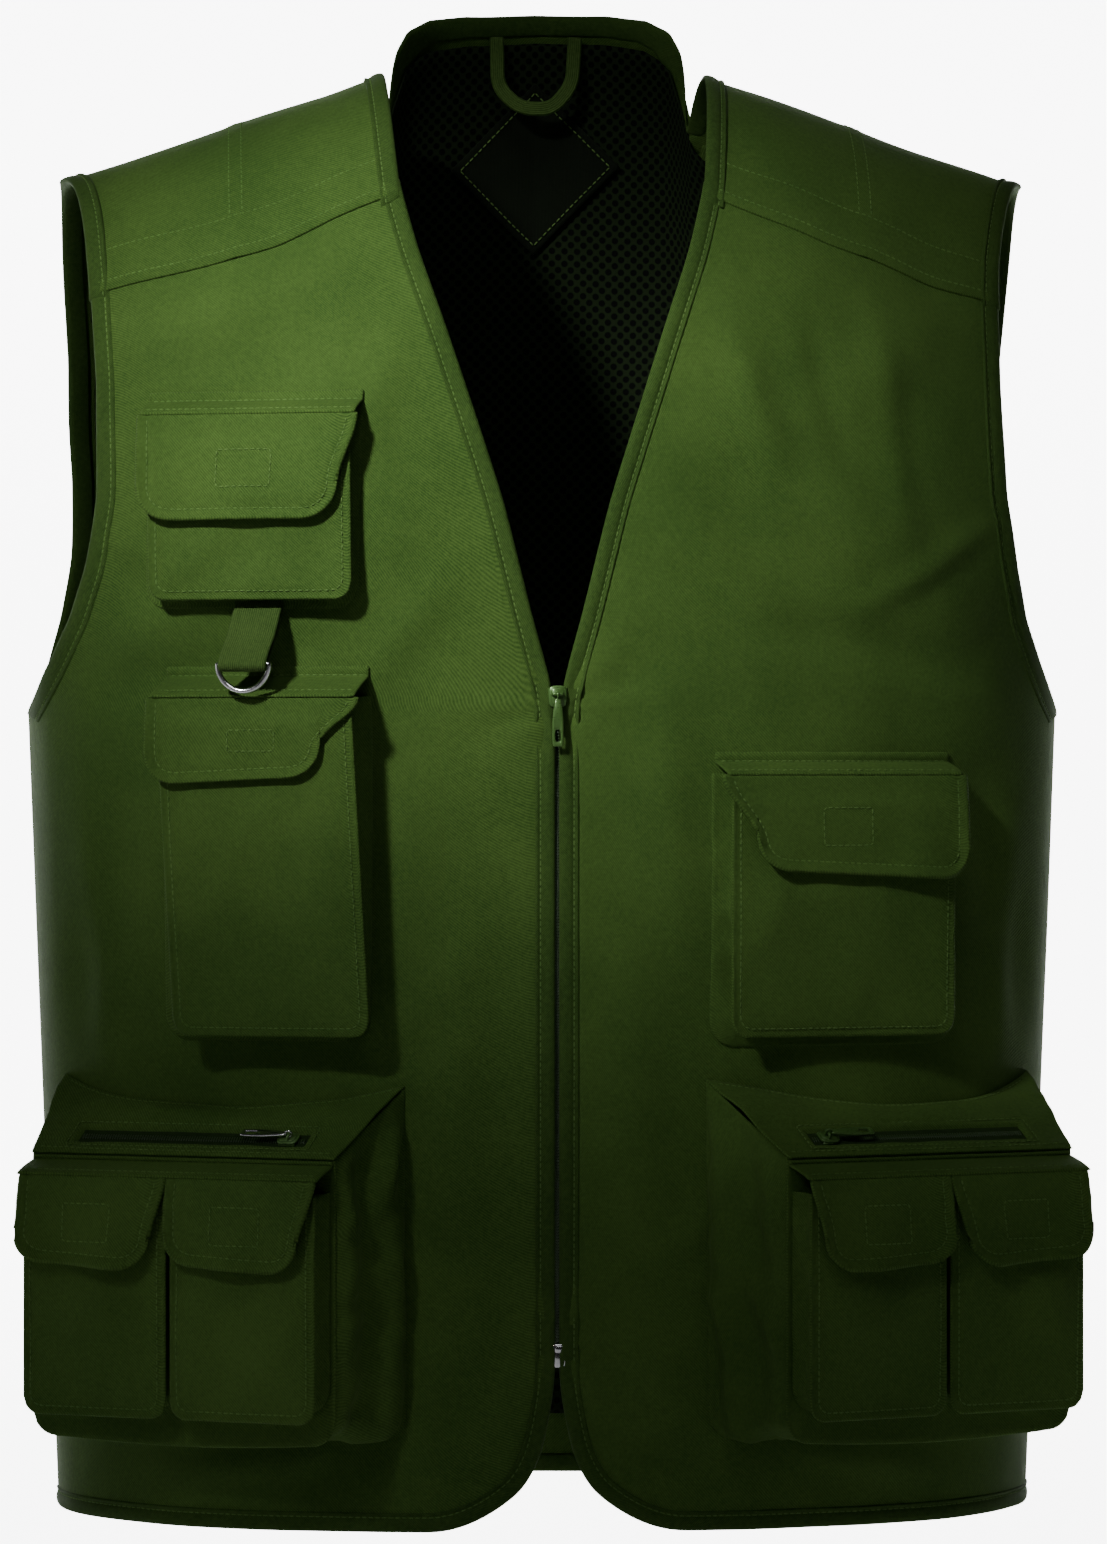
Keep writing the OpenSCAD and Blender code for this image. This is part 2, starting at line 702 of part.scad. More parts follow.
module small_pocket(place) {
  small_place(place) {
    upright(-small_pocket_d, -small_pocket_d + wall)
      translate([-small_w / 2, 0]) square([small_w, small_h - 8]);
    for (side = [-1, 1])
      translate([side * (small_w / 2 - wall / 2) - wall / 2, -small_pocket_d + wall, 0])
        cube([wall, small_pocket_d - wall, small_h - 8]);
    translate([-small_w / 2 + wall, -small_pocket_d + wall, 0])
      cube([small_w - 2 * wall, small_pocket_d - wall, wall]);
  }
}

module small_flap(place) {
  small_place(place)
    translate([0, -small_pocket_d - flap_out, small_h]) flap(small_w + 1.4, 41, 3, 3);
}

module small_bands() {
  cargo_frame(cargo_low_z + small_top - small_h)
    translate([cargo_w / 2, 0, small_h]) rotate([0, -90, 0]) linear_extrude(cargo_w)
      polygon([[6.5, -0.4], [8.5, -0.4], [2.6, -small_pocket_d - 2], [1.6, -small_pocket_d - 1]]);
}

module cargo_pocket_left() {
  color(green) cargo_pocket();
}

module cargo_pocket_right() {
  color(green) right() cargo_pocket();
}

module cargo_top_left() {
  color(green) {
    cargo_top();
    small_bands();
  }
}

module cargo_top_right() {
  color(green) right() {
    cargo_top();
    small_bands();
  }
}

module cargo_zip_left() {
  color("darkslategray") cargo_zip();
}

module cargo_zip_right() {
  color("darkslategray") right() cargo_zip();
}

module cargo_slider_left() {
  color(green) cargo_slider();
}

module cargo_slider_right() {
  color(green) right() cargo_slider();
}

module cargo_pull_left() {
  color(steel) cargo_pull();
}

module cargo_pull_right() {
  color(steel) right() cargo_pull();
}

module small_pocket_left_inner() {
  color(green) small_pocket(-1);
}

module small_pocket_left_outer() {
  color(green) small_pocket(1);
}

module small_pocket_right_inner() {
  color(green) right() small_pocket(-1);
}

module small_pocket_right_outer() {
  color(green) right() small_pocket(1);
}

module small_flap_left_inner() {
  color(green) small_flap(-1);
}

module small_flap_left_outer() {
  color(green) small_flap(1);
}

module small_flap_right_inner() {
  color(green) right() small_flap(-1);
}

module small_flap_right_outer() {
  color(green) right() small_flap(1);
}

// ---- Touch fastener pads on the pocket faces ----------------------------------------

module pad(w, h, y, z) {
  translate([-w / 2, y, z]) cube([w, 0.8, h]);
}

module small_pads() {
  for (place = [-1, 1])
    small_place(place) pad(25, 18, -small_pocket_d - 0.9, small_h - 32);
}

module hook_loop_pads_left() {
  color("black") {
    chest_left_frame() pad(25, 18, -chest_pocket_d - 0.9, chest_left_h - 38);
    small_pads();
  }
}

module hook_loop_pads_right() {
  color("black") {
    chest_right_frame() pad(27, 18, -chest_pocket_d - 0.9, chest_right_h - 40);
    tall_frame() pad(23, 14, -tall_pocket_d - 0.9, tall_h - 32);
    right() small_pads();
  }
}

hung() back_panel();
hung() mesh_lining();
hung() yoke_right();
hung() yoke_left();
hung() neck_binding();
hung() hanging_loop();
hung() lining_patch();
hung() back_armhole_binding_right();
hung() back_armhole_binding_left();
hung() back_hem_binding();
hung() front_panel_right();
hung() front_edge_binding_right();
hung() armhole_binding_right();
hung() hem_binding_right();
hung() main_zip_tape_right();
hung() main_zip_coil_right();
hung() zip_pin();
hung() front_panel_left();
hung() front_edge_binding_left();
hung() armhole_binding_left();
hung() hem_binding_left();
hung() main_zip_tape_left();
hung() main_zip_coil_left();
hung() zip_box();
hung() main_slider();
hung() main_pull();
hung() chest_pocket_right();
hung() chest_band_right();
hung() chest_flap_right();
hung() ring_tab();
hung() d_ring();
hung() tall_pocket();
hung() tall_band();
hung() tall_flap();
hung() chest_pocket_left();
hung() chest_band_left();
hung() chest_flap_left();
hung() cargo_pocket_right();
hung() cargo_top_right();
hung() cargo_zip_right();
hung() cargo_slider_right();
hung() cargo_pull_right();
hung() small_pocket_right_inner();
hung() small_pocket_right_outer();
hung() small_flap_right_inner();
hung() small_flap_right_outer();
hung() cargo_pocket_left();
hung() cargo_top_left();
hung() cargo_zip_left();
hung() cargo_slider_left();
hung() cargo_pull_left();
hung() small_pocket_left_inner();
hung() small_pocket_left_outer();
hung() small_flap_left_inner();
hung() small_flap_left_outer();
hung() hook_loop_pads_right();
hung() hook_loop_pads_left();
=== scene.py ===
"""Fishing vest: every cloth piece, zip part and stitch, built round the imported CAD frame.

Lengths are in millimetres in the vest's own frame until a mesh is made: x to the wearer's left,
-y out of the front and z up from the hem, with y = 0 at the side seams.
"""
import json
import math
import bmesh
import bpy
import numpy as np
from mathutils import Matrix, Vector, noise

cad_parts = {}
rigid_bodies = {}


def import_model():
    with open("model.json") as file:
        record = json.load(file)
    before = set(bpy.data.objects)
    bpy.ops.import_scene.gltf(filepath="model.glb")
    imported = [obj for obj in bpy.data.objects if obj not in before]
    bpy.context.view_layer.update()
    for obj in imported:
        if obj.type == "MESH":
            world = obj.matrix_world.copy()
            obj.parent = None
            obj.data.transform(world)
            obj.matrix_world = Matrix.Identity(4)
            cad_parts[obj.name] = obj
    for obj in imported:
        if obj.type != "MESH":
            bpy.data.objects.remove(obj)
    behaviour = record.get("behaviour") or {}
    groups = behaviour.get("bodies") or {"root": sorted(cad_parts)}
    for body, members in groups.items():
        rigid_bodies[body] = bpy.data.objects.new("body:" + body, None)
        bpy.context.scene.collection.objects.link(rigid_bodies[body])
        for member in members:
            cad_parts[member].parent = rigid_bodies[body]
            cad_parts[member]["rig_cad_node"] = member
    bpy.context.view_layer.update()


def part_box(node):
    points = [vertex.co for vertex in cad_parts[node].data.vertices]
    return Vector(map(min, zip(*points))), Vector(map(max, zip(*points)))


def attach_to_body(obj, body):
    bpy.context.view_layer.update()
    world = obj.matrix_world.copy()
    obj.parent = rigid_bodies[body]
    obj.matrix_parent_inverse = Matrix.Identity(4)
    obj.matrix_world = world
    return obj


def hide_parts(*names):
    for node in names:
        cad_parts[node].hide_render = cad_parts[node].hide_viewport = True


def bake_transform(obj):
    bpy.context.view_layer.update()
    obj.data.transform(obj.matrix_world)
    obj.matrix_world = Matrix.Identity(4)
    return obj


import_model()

# ---- Sizes ---------------------------------------------------------------------------------

MM = 0.001
SIDE_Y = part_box("back_panel")[0].y - 0.8 * MM        # the side seams' place in the row frame
HEM_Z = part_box("back_hem_binding")[0].z              # the hem's place in the row frame
HEM_HALF, CHEST_HALF, UNDERARM_Z = 240.0, 255.0, 391.0
FRONT_DEPTH, BACK_DEPTH = 138.0, 112.0
NECK_Z, NECK_HALF, SHOULDER_SLOPE = 708.0, 80.0, 0.34
ROUND_N, ARCH_N, ARCH_Z = 2.4, 2.2, 430.0            # the torso's roundness, as in the CAD
NECK_RISE = 122.0
BINDING_W = 8.5
CLOTH_T = 1.1
ZIP_TOP, ZIP_BOX = 402.0, 78.0
BLEND_TOP, BLEND_LOW = 618.0, 548.0                  # a front's pieces that reach between these heights are left on no body

EDGE = ([0, 10, 26, 45, 70, 396, 414, 435, 492, 545, 576, 614, 650, 700, 740],
        [34, 24, 11, 6, 1.5, 1.5, 6, 12, 26, 43, 53, 66, 75, 79, 80])
ARM_FRONT = ([391, 400, 415, 437, 460, 495, 550, 602, 625, 655],
             [255, 249, 241, 231, 225, 220, 219, 221, 227, 239])
ARM_BACK = ([391, 400, 415, 440, 470, 510, 570, 620, 655],
            [255, 251, 246, 241, 237, 235, 235, 238, 239])
YOKE = ([70, 85, 133, 180, 225, 260], [645, 638, 618, 604, 592, 588])
BACK_NECK = ([0, 36, 55, 66, 72, 75, 76], [740, 738, 734, 727, 716, 700, 684])
BACK_SEAM_T = 0.9


def signed_power(values, power):
    """Raises sizes to a power and keeps their signs."""
    return np.sign(values) * np.abs(values) ** power


def run_along(line):
    """The distance along a line of places from its start to each of them."""
    return np.concatenate([[0], np.cumsum(np.linalg.norm(np.diff(line, axis=0), axis=1))])


def smooth_table(table):
    """A table's values on a fine, smoothed grid, so that its corners become curves."""
    xs, ys = (np.array(v, float) for v in table)
    fine = np.linspace(xs[0], xs[-1], 400)
    values = np.interp(fine, xs, ys)
    for _ in range(30):
        values[1:-1] = (values[:-2] + 2 * values[1:-1] + values[2:]) / 4
    return fine, values


EDGE_S, ARM_FRONT_S, ARM_BACK_S = (smooth_table(t) for t in (EDGE, ARM_FRONT, ARM_BACK))
YOKE_S, BACK_NECK_S = smooth_table(YOKE), smooth_table(BACK_NECK)


def half_w(z):
    """Half the torso's width at a height."""
    return HEM_HALF + (CHEST_HALF - HEM_HALF) * np.asarray(z, float) / UNDERARM_Z


def ridge(x, s):
    """Height of the shoulder line over x, on the front (s = -1) or the back (s = 1)."""
    ax = np.abs(np.asarray(x, float))
    slope = NECK_Z - (ax - NECK_HALF) * SHOULDER_SLOPE
    rise = NECK_Z + NECK_RISE * np.clip(1 - ax / NECK_HALF, 0, 1) ** 0.6
    return np.where((ax >= NECK_HALF) | (s < 0), slope, rise)


def edge_x(z):
    """How far a front's open edge is from the middle at a height."""
    return np.interp(z, *EDGE_S)


def arm_x(z, s):
    """How far the armhole's edge, or the side seam below it, is from the middle."""
    table = ARM_FRONT_S if s < 0 else ARM_BACK_S
    return np.where(np.asarray(z) <= UNDERARM_Z, half_w(z), np.minimum(half_w(z), np.interp(z, *table)))


def yoke_z(x):
    """Height of the yoke's front seam over x."""
    return np.interp(np.abs(x), *YOKE_S)


def hem_z(x):
    """Height of the fronts' lower edge, which rises to the rounded corners at the zip."""
    return 27 * np.clip(1 - (np.abs(x) - 10) / 52, 0, 1) ** 2


def back_top(x):
    """Height of the back panel's top edge: the neck, then the yoke's back seam."""
    ax = np.abs(x)
    seam = ARCH_Z + BACK_SEAM_T * (ridge(x, 1) - ARCH_Z)
    return np.where(ax < NECK_HALF, np.interp(ax, *BACK_NECK), seam)


def section(x, z):
    """How far x is towards the side seam, 0 to 1, and the share of the torso's full depth there."""
    u = np.clip(np.abs(x) / half_w(z), 0, 1)
    return u, (1 - u ** ROUND_N) ** (1 / ROUND_N)


def torso(x, z, d, s):
    """Places d outside the torso's surface."""
    x, z, d = (np.asarray(v, float) for v in (x, z, d))
    u, across = section(x, z)
    t = np.clip((z - ARCH_Z) / (ridge(x, s) - ARCH_Z), 0, 1)
    lean = (1 - t ** ARCH_N) ** (1 / ARCH_N)
    depth = (FRONT_DEPTH if s < 0 else BACK_DEPTH) + d
    return np.stack([np.sign(x) * u * (half_w(z) + d), s * depth * across * lean, z + d * t], -1)


# ---- Folds in the cloth ----------------------------------------------------------------------

def wander(x, z, size, seed):
    """Smooth noise about 0 over places in millimetres."""
    x, z = np.broadcast_arrays(np.asarray(x, float), np.asarray(z, float))
    flat = [noise.noise((a / size, b / size, seed)) for a, b in zip(x.ravel(), z.ravel())]
    return np.array(flat).reshape(x.shape)


def fold(x, z, x0, z0, x1, z1, width, height):
    """One soft fold along a line, fading out at both ends."""
    dx, dz = x1 - x0, z1 - z0
    length = math.hypot(dx, dz)
    along = ((x - x0) * dx + (z - z0) * dz) / length
    off = ((x - x0) * dz - (z - z0) * dx) / length
    fade = np.clip(along / length, 0, 1) * np.clip(1 - along / length, 0, 1) * 4
    return height * fade * np.exp(-(off / width) ** 2)


FRONT_FOLDS = [  # x0, z0, x1, z1, width, height on the front
    (-215, 420, -120, 470, 13, 2.2), (-225, 400, -100, 425, 10, -1.8), (-205, 560, -120, 600, 14, 1.8),
    (-60, 560, -215, 470, 18, 2.0), (-75, 230, -70, 390, 14, 1.6), (-40, 330, -52, 130, 12, 1.8),
    (-230, 230, -200, 380, 12, -2.2), (-215, 210, -222, 350, 8, 1.8), (-30, 120, -70, 40, 9, 1.8),
    (210, 430, 110, 500, 16, 2.6), (215, 405, 90, 440, 12, -2.0), (195, 590, 120, 520, 18, 2.2),
    (60, 560, 180, 450, 20, 2.4), (45, 420, 60, 250, 13, 1.8), (30, 330, 42, 120, 10, 1.7),
    (232, 230, 205, 375, 12, -2.2), (218, 215, 224, 350, 8, 1.8), (28, 110, 62, 34, 9, 1.8),
    (95, 40, 190, 24, 8, 1.6), (-95, 40, -185, 22, 8, 1.6), (-100, 150, -24, 96, 6, 1.5),
    (-92, 112, -22, 78, 5, -1.2), (96, 165, 22, 104, 6, 1.4), (90, 118, 24, 84, 5, -1.2),
    (-32, 480, -96, 396, 9, 1.3), (38, 500, 120, 426, 9, 1.5), (-218, 480, -140, 430, 6, 1.3),
    (218, 486, 140, 436, 6, 1.4), (-62, 610, -96, 500, 9, 1.3), (74, 604, 112, 476, 9, 1.6),
    (150, 600, 168, 460, 9, 1.5), (120, 590, 140, 500, 7, -1.2), (-20, 300, -80, 230, 8, 1.0),
    (24, 290, 70, 216, 8, 1.1)]
BACK_FOLDS = [
    (-200, 430, -60, 520, 20, 2.6), (200, 430, 60, 520, 20, 2.6), (-170, 60, -120, 330, 20, 2.4),
    (165, 80, 140, 320, 18, 2.4), (-40, 620, -60, 420, 22, 2.0), (50, 630, 45, 400, 22, 2.0),
    (-215, 180, -190, 340, 10, -2.0), (214, 170, 190, 350, 10, -2.0)]


def folds(x, z, s):
    """How far the front's (s = -1) or the back's cloth stands out in soft folds."""
    x, z = (np.asarray(v, float) for v in (x, z))
    total = 5.0 * wander(x, z * 0.7, 95, 3.0 + s) + 1.5 * wander(x, z * 0.6, 38, 8.0 + s)
    for f in FRONT_FOLDS if s < 0 else BACK_FOLDS:
        total = total + fold(x, z, *f) * 1.8
    if s < 0:
        total = total * np.clip((np.abs(x) - edge_x(np.clip(z, 60, 600)) - 4) / 45, 0.2, 1)
        for height, spokes, size in ((ZIP_TOP - 8, 7.0, 30.0), (92.0, 6.0, 42.0)):
            r = np.hypot(np.abs(x) - 6, z - height)
            angle = np.arctan2(z - height, np.abs(x) - 6)
            total = total + 1.5 * np.exp(-r / size) * np.cos(spokes * angle) * np.clip(r / 12, 0, 1)
    seam_gap = np.clip((half_w(z) - np.abs(x)) / 12, 0, 1)
    return total * seam_gap * np.clip((ridge(x, s) - z) / 50, 0, 1)


def front(x, z, d=0.0):
    return torso(x, z, d + folds(x, z, -1), -1)


def back(x, z, d=0.0):
    return torso(x, z, d + folds(x, z, 1) * 0.9, 1)


# ---- Mesh helpers --------------------------------------------------------------------------

def to_row(points):
    """Millimetres in the vest's frame to metres in the row frame."""
    return np.asarray(points, float) * MM + np.array([0, SIDE_Y, HEM_Z])


def unit(v):
    return v / np.maximum(np.linalg.norm(v, axis=-1, keepdims=True), 1e-9)


def grid_normals(p):
    """Outward normals of a grid whose columns run to the right and rows run up, seen from outside."""
    return unit(np.cross(np.gradient(p, axis=1), np.gradient(p, axis=0)))


def grid_uv(p):
    """Cloth coordinates in metres, measured along the grid's middle row and column."""
    rows, cols = p.shape[:2]
    across = np.linalg.norm(np.diff(p, axis=1), axis=2)
    up = np.linalg.norm(np.diff(p, axis=0), axis=2)
    u = np.concatenate([np.zeros((rows, 1)), np.cumsum(across, 1)], 1)
    u -= u[:, cols // 2:cols // 2 + 1]
    v = np.concatenate([np.zeros((1, cols)), np.cumsum(up, 0)], 0)
    return np.stack([u, v], -1) * MM


def make_object(name, verts, faces, material, uvs=None):
    """A mesh object from places in the vest's frame. uvs is one pair for each vertex."""
    mesh = bpy.data.meshes.new(name)
    mesh.from_pydata([tuple(v) for v in to_row(verts)], [], [tuple(int(i) for i in f) for f in faces])
    if uvs is not None:
        layer = mesh.uv_layers.new(name="cloth")
        index = np.empty(len(mesh.loops), int)
        mesh.loops.foreach_get("vertex_index", index)
        layer.data.foreach_set("uv", np.asarray(uvs, np.float32)[index].ravel())
    mesh.polygons.foreach_set("use_smooth", [True] * len(mesh.polygons))
    mesh.materials.append(material)
    mesh.update()
    obj = bpy.data.objects.new(name, mesh)
    bpy.context.scene.collection.objects.link(obj)
    return obj


def grid_faces(rows, cols):
    return [(r * cols + c, r * cols + c + 1, (r + 1) * cols + c + 1, (r + 1) * cols + c)
            for r in range(rows - 1) for c in range(cols - 1)]


def thicken(points, normals, faces, t, rim=0.4):
    """A closed sheet t thick round a surface, with rounded rims. Returns vertices, faces and the
    surface vertex that each one came from."""
    points, normals = points.reshape(-1, 3), normals.reshape(-1, 3)
    used = sorted({i for f in faces for i in f})
    slot_of = {v: i for i, v in enumerate(used)}
    n = len(used)
    verts = [points[used] + normals[used] * t / 2, points[used] - normals[used] * t / 2]
    out = [tuple(slot_of[i] for i in f) for f in faces]
    out += [tuple(slot_of[i] + n for i in reversed(f)) for f in faces]
    edges = {}
    for f in faces:
        for a, b in zip(f, f[1:] + f[:1]):
            edges[(a, b)] = edges.get((a, b), 0) + 1
    border = [e for e in edges if (e[1], e[0]) not in edges]
    outward = {}
    for a, b in border:
        away = np.cross(points[b] - points[a], normals[a])
        for i in (a, b):
            outward[i] = outward.get(i, 0) + away
    rims = {v: 2 * n + i for i, v in enumerate(sorted(outward))}
    verts.append(np.array([points[v] + unit(outward[v]) * t * rim for v in sorted(outward)]).reshape(-1, 3))
    for a, b in border:
        out.append((slot_of[b], slot_of[a], rims[a], rims[b]))
        out.append((rims[b], rims[a], slot_of[a] + n, slot_of[b] + n))
    source = used + used + sorted(outward)
    return np.concatenate(verts), out, source


class Patch:
    """A piece of cloth as a grid: columns to the right and rows up, seen from outside."""

    def __init__(self, points, normals=None):
        self.points = points
        self.normals = grid_normals(points) if normals is None else normals

    def sample(self, u, v):
        """Places and normals at fractions u across and v up."""
        rows, cols = self.points.shape[:2]
        x = np.clip(np.asarray(u, float), 0, 1) * (cols - 1)
        y = np.clip(np.asarray(v, float), 0, 1) * (rows - 1)
        c, r = np.minimum(x.astype(int), cols - 2), np.minimum(y.astype(int), rows - 2)
        fx, fy = (x - c)[..., None], (y - r)[..., None]
        def mix(g):
            return ((g[r, c] * (1 - fx) + g[r, c + 1] * fx) * (1 - fy)
                    + (g[r + 1, c] * (1 - fx) + g[r + 1, c + 1] * fx) * fy)
        return mix(self.points), unit(mix(self.normals))

    def build(self, name, material, t=CLOTH_T, rim=0.4):
        """A closed sheet t thick on both sides of the grid."""
        faces = grid_faces(*self.points.shape[:2])
        verts, faces, source = thicken(self.points, self.normals, faces, t, rim)
        return make_object(name, verts, faces, material, grid_uv(self.points).reshape(-1, 2)[source])


def facing(points, way, part=slice(None)):
    """The cloth on a grid of places, its columns reversed where its outside would look away from a
    direction. part picks the places that decide."""
    patch = Patch(points)
    return Patch(points[:, ::-1]) if np.sum(patch.normals[part] * way) < 0 else patch


# ---- Stitches ------------------------------------------------------------------------------

STITCHES = {}
STITCH_PITCH, STITCH_LEN, STITCH_R = 3.2, 2.4, 0.4


def stitch(body, points, normals, lift=0.12):
    """Adds a row of thread stitches along a line of places, lying on the cloth."""
    points, normals = np.asarray(points, float), np.asarray(normals, float)
    run = run_along(points)
    count = max(2, int(run[-1] / STITCH_PITCH))
    middle = (np.arange(count) + 0.5) / count * run[-1]
    def at(s):
        return np.stack([np.interp(s, run, points[:, i]) for i in range(3)], -1)
    n = unit(np.stack([np.interp(middle, run, normals[:, i]) for i in range(3)], -1))
    a, b = at(middle - STITCH_LEN / 2), at(middle + STITCH_LEN / 2)
    STITCHES.setdefault(body, []).append((a, b, n, lift))


def ring_faces(count, levels, closed=False):
    """Faces that join levels of count places each, with a cap at both ends unless it closes on itself."""
    faces = []
    for i in range(levels if closed else levels - 1):
        a, b = i * count, (i + 1) % levels * count
        faces += [(a + k, a + (k + 1) % count, b + (k + 1) % count, b + k) for k in range(count)]
    if not closed:
        faces.append(tuple(range(count))[::-1])
        faces.append(tuple((levels - 1) * count + k for k in range(count)))
    return faces


CAPSULE_LEVELS = ((0.0, 0.25, -0.22), (0.2, 0.9, 0.0), (0.8, 0.9, 0.0), (1.0, 0.25, -0.22))


def capsules(a, b, n, radius, lift, sides=5):
    """Small thread-like solids from a to b, thin and sunk at the ends."""
    along = unit(b - a)
    side = unit(np.cross(along, n))
    length = np.linalg.norm(b - a, axis=1)[:, None]
    rings = []
    for t, scale, sink in CAPSULE_LEVELS:
        centre = a + along * length * t + n * (lift + sink)
        for k in range(sides):
            angle = 2 * math.pi * k / sides
            rings.append(centre + (side * math.cos(angle) + n * math.sin(angle)) * radius * scale)
    verts = np.stack(rings, 1).reshape(-1, 3)
    one = ring_faces(sides, len(CAPSULE_LEVELS))
    faces = [tuple(start + i for i in f) for start in range(0, len(verts), len(rings)) for f in one]
    return verts, faces


def stitch_across(body, patch, rows, count, lift):
    """Rows of stitches across a piece, at fractions of its height."""
    u = np.linspace(0.02, 0.98, count)
    for row in rows:
        stitch(body, *patch.sample(u, np.full(count, row)), lift=lift)


def build_stitches():
    for body, rows in STITCHES.items():
        parts = [capsules(a, b, n, STITCH_R, lift) for a, b, n, lift in rows]
        verts, faces = join(parts)
        obj = make_object(f"stitches_{body}", verts, faces, THREAD)
        place(obj, body)


def join(parts):
    verts, faces, base = [], [], 0
    for v, f in parts:
        verts.append(np.asarray(v, float))
        faces += [tuple(i + base for i in face) for face in f]
        base += len(v)
    return np.concatenate(verts), faces


def place(obj, body, slot=None, replaces=()):
    """Rides obj on a body. A front's piece that reaches between BLEND_LOW and BLEND_TOP is left on no body.
    """
    low = min(v.co.z for v in obj.data.vertices)
    high = max(v.co.z for v in obj.data.vertices)
    crosses = high > HEM_Z + BLEND_LOW * MM and low < HEM_Z + BLEND_TOP * MM
    if body in ("front_left", "front_right") and crosses:
        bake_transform(obj)
    else:
        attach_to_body(obj, body)
    if replaces:
        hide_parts(*replaces)
    return obj


# ---- Materials -------------------------------------------------------------------------------

class Look:
    """A material being built: its nodes, the links between them and its surface shader."""

    def __init__(self, name, **values):
        self.material = bpy.data.materials.new(name)
        self.material.use_nodes = True
        self.nodes, self.links = self.material.node_tree.nodes, self.material.node_tree.links
        self.shader = self.nodes["Principled BSDF"]
        self.fill(self.shader, values)

    def fill(self, made, values):
        """Sets inputs and settings by name. Underscores stand for the spaces in an input's name."""
        for key, value in values.items():
            label = key.replace("_", " ")
            if label in made.inputs:
                made.inputs[label].default_value = value
            else:
                setattr(made, key, value)

    def node(self, kind, **values):
        made = self.nodes.new("ShaderNode" + kind)
        self.fill(made, values)
        return made

    def texture(self, kind, where, **values):
        """A node that is fed with coordinates."""
        made = self.node(kind, **values)
        self.links.new(where, made.inputs["Vector"])
        return made

    def total(self, *parts):
        """The sum of values, each times its factor."""
        result = None
        for value, factor in parts:
            made = self.node("Math", operation="MULTIPLY_ADD")
            self.links.new(value, made.inputs[0])
            made.inputs[1].default_value = factor
            made.inputs[2].default_value = 0.0
            if result is not None:
                self.links.new(result, made.inputs[2])
            result = made.outputs[0]
        return result

    def colours(self, value, *stops):
        """Colours the surface by a value, through stops of a position and a colour."""
        ramp = self.node("ValToRGB")
        for element, (position, color) in zip(ramp.color_ramp.elements, stops):
            element.position = position
            element.color = (*color, 1)
        self.links.new(value, ramp.inputs["Fac"])
        self.links.new(ramp.outputs["Color"], self.shader.inputs["Base Color"])
        return ramp.outputs["Color"]

    def bump(self, value, strength, distance):
        height = self.node("Bump", Strength=strength, Distance=distance)
        self.links.new(value, height.inputs["Height"])
        self.links.new(height.outputs["Normal"], self.shader.inputs["Normal"])


def cloth_material(name, dark, light, weave=430.0, bump=0.5, ribs=False):
    """Woven cloth: fine diagonal twill lines with uneven yarns, worn high spots and a soft sheen."""
    look = Look(name, Roughness=0.85, Specular_IOR_Level=0.12, Sheen_Weight=0.03, Sheen_Roughness=0.5,
                Sheen_Tint=(0.55, 0.8, 0.25, 1))
    cloth = look.node("UVMap", uv_map="cloth").outputs[0]
    position = look.node("NewGeometry").outputs["Position"]
    yarn = look.texture("Mapping", cloth, Rotation=(0, 0, math.radians(-30)), Scale=(1500, 420, 1))
    slub = look.texture("TexNoise", yarn.outputs[0], Scale=1.0, Detail=2.0)
    twill = look.texture("TexWave", cloth, wave_type="BANDS", bands_direction="X" if ribs else "DIAGONAL",
                         Scale=weave, Distortion=0.7, Detail=1.0, Detail_Scale=2.0)
    fade = look.texture("TexNoise", position, Scale=11.0, Detail=5.0, Roughness=0.62)
    speck = look.texture("TexNoise", position, Scale=520.0, Detail=2.0, Roughness=0.7)
    grain = look.total((twill.outputs["Fac"], 0.6), (slub.outputs["Fac"], 0.5))
    tone = look.total((grain, 0.42), (speck.outputs["Fac"], 0.45), (fade.outputs["Fac"], 0.5))
    look.colours(tone, (0.5, dark), (0.92, light))
    look.bump(grain, bump, 0.0005)
    return look.material


def mesh_material_with_painted_shade(name, dark, light):
    """Knitted mesh in a dark cloth: rows of small round holes, painted darker still as the painted shade
    seen through them.
    """
    look = Look(name, Roughness=0.85, Specular_IOR_Level=0.08)
    cloth = look.node("UVMap", uv_map="cloth").outputs[0]
    turn = look.texture("Mapping", cloth, Rotation=(0, 0, math.radians(45)))
    holes = look.texture("TexVoronoi", turn.outputs[0], Scale=1 / MESH_PITCH, Randomness=0.0)
    look.bump(look.colours(holes.outputs["Distance"], (0.3, dark), (0.42, light)), 0.8, 0.0008)
    return look.material


def metal_material(name, color, metallic, rough):
    """Plated or enamelled metal with faint handling marks."""
    look = Look(name, Metallic=metallic)
    position = look.node("NewGeometry").outputs["Position"]
    marks = look.texture("TexNoise", position, Scale=900.0, Detail=5.0).outputs["Fac"]
    look.colours(marks, (0.0, [c * 0.75 for c in color]), (1.0, [min(1, c * 1.1) for c in color]))
    gloss = look.node("MapRange", To_Min=rough * 0.6, To_Max=rough * 1.5)
    look.links.new(marks, gloss.inputs["Value"])
    look.links.new(gloss.outputs[0], look.shader.inputs["Roughness"])
    return look.material


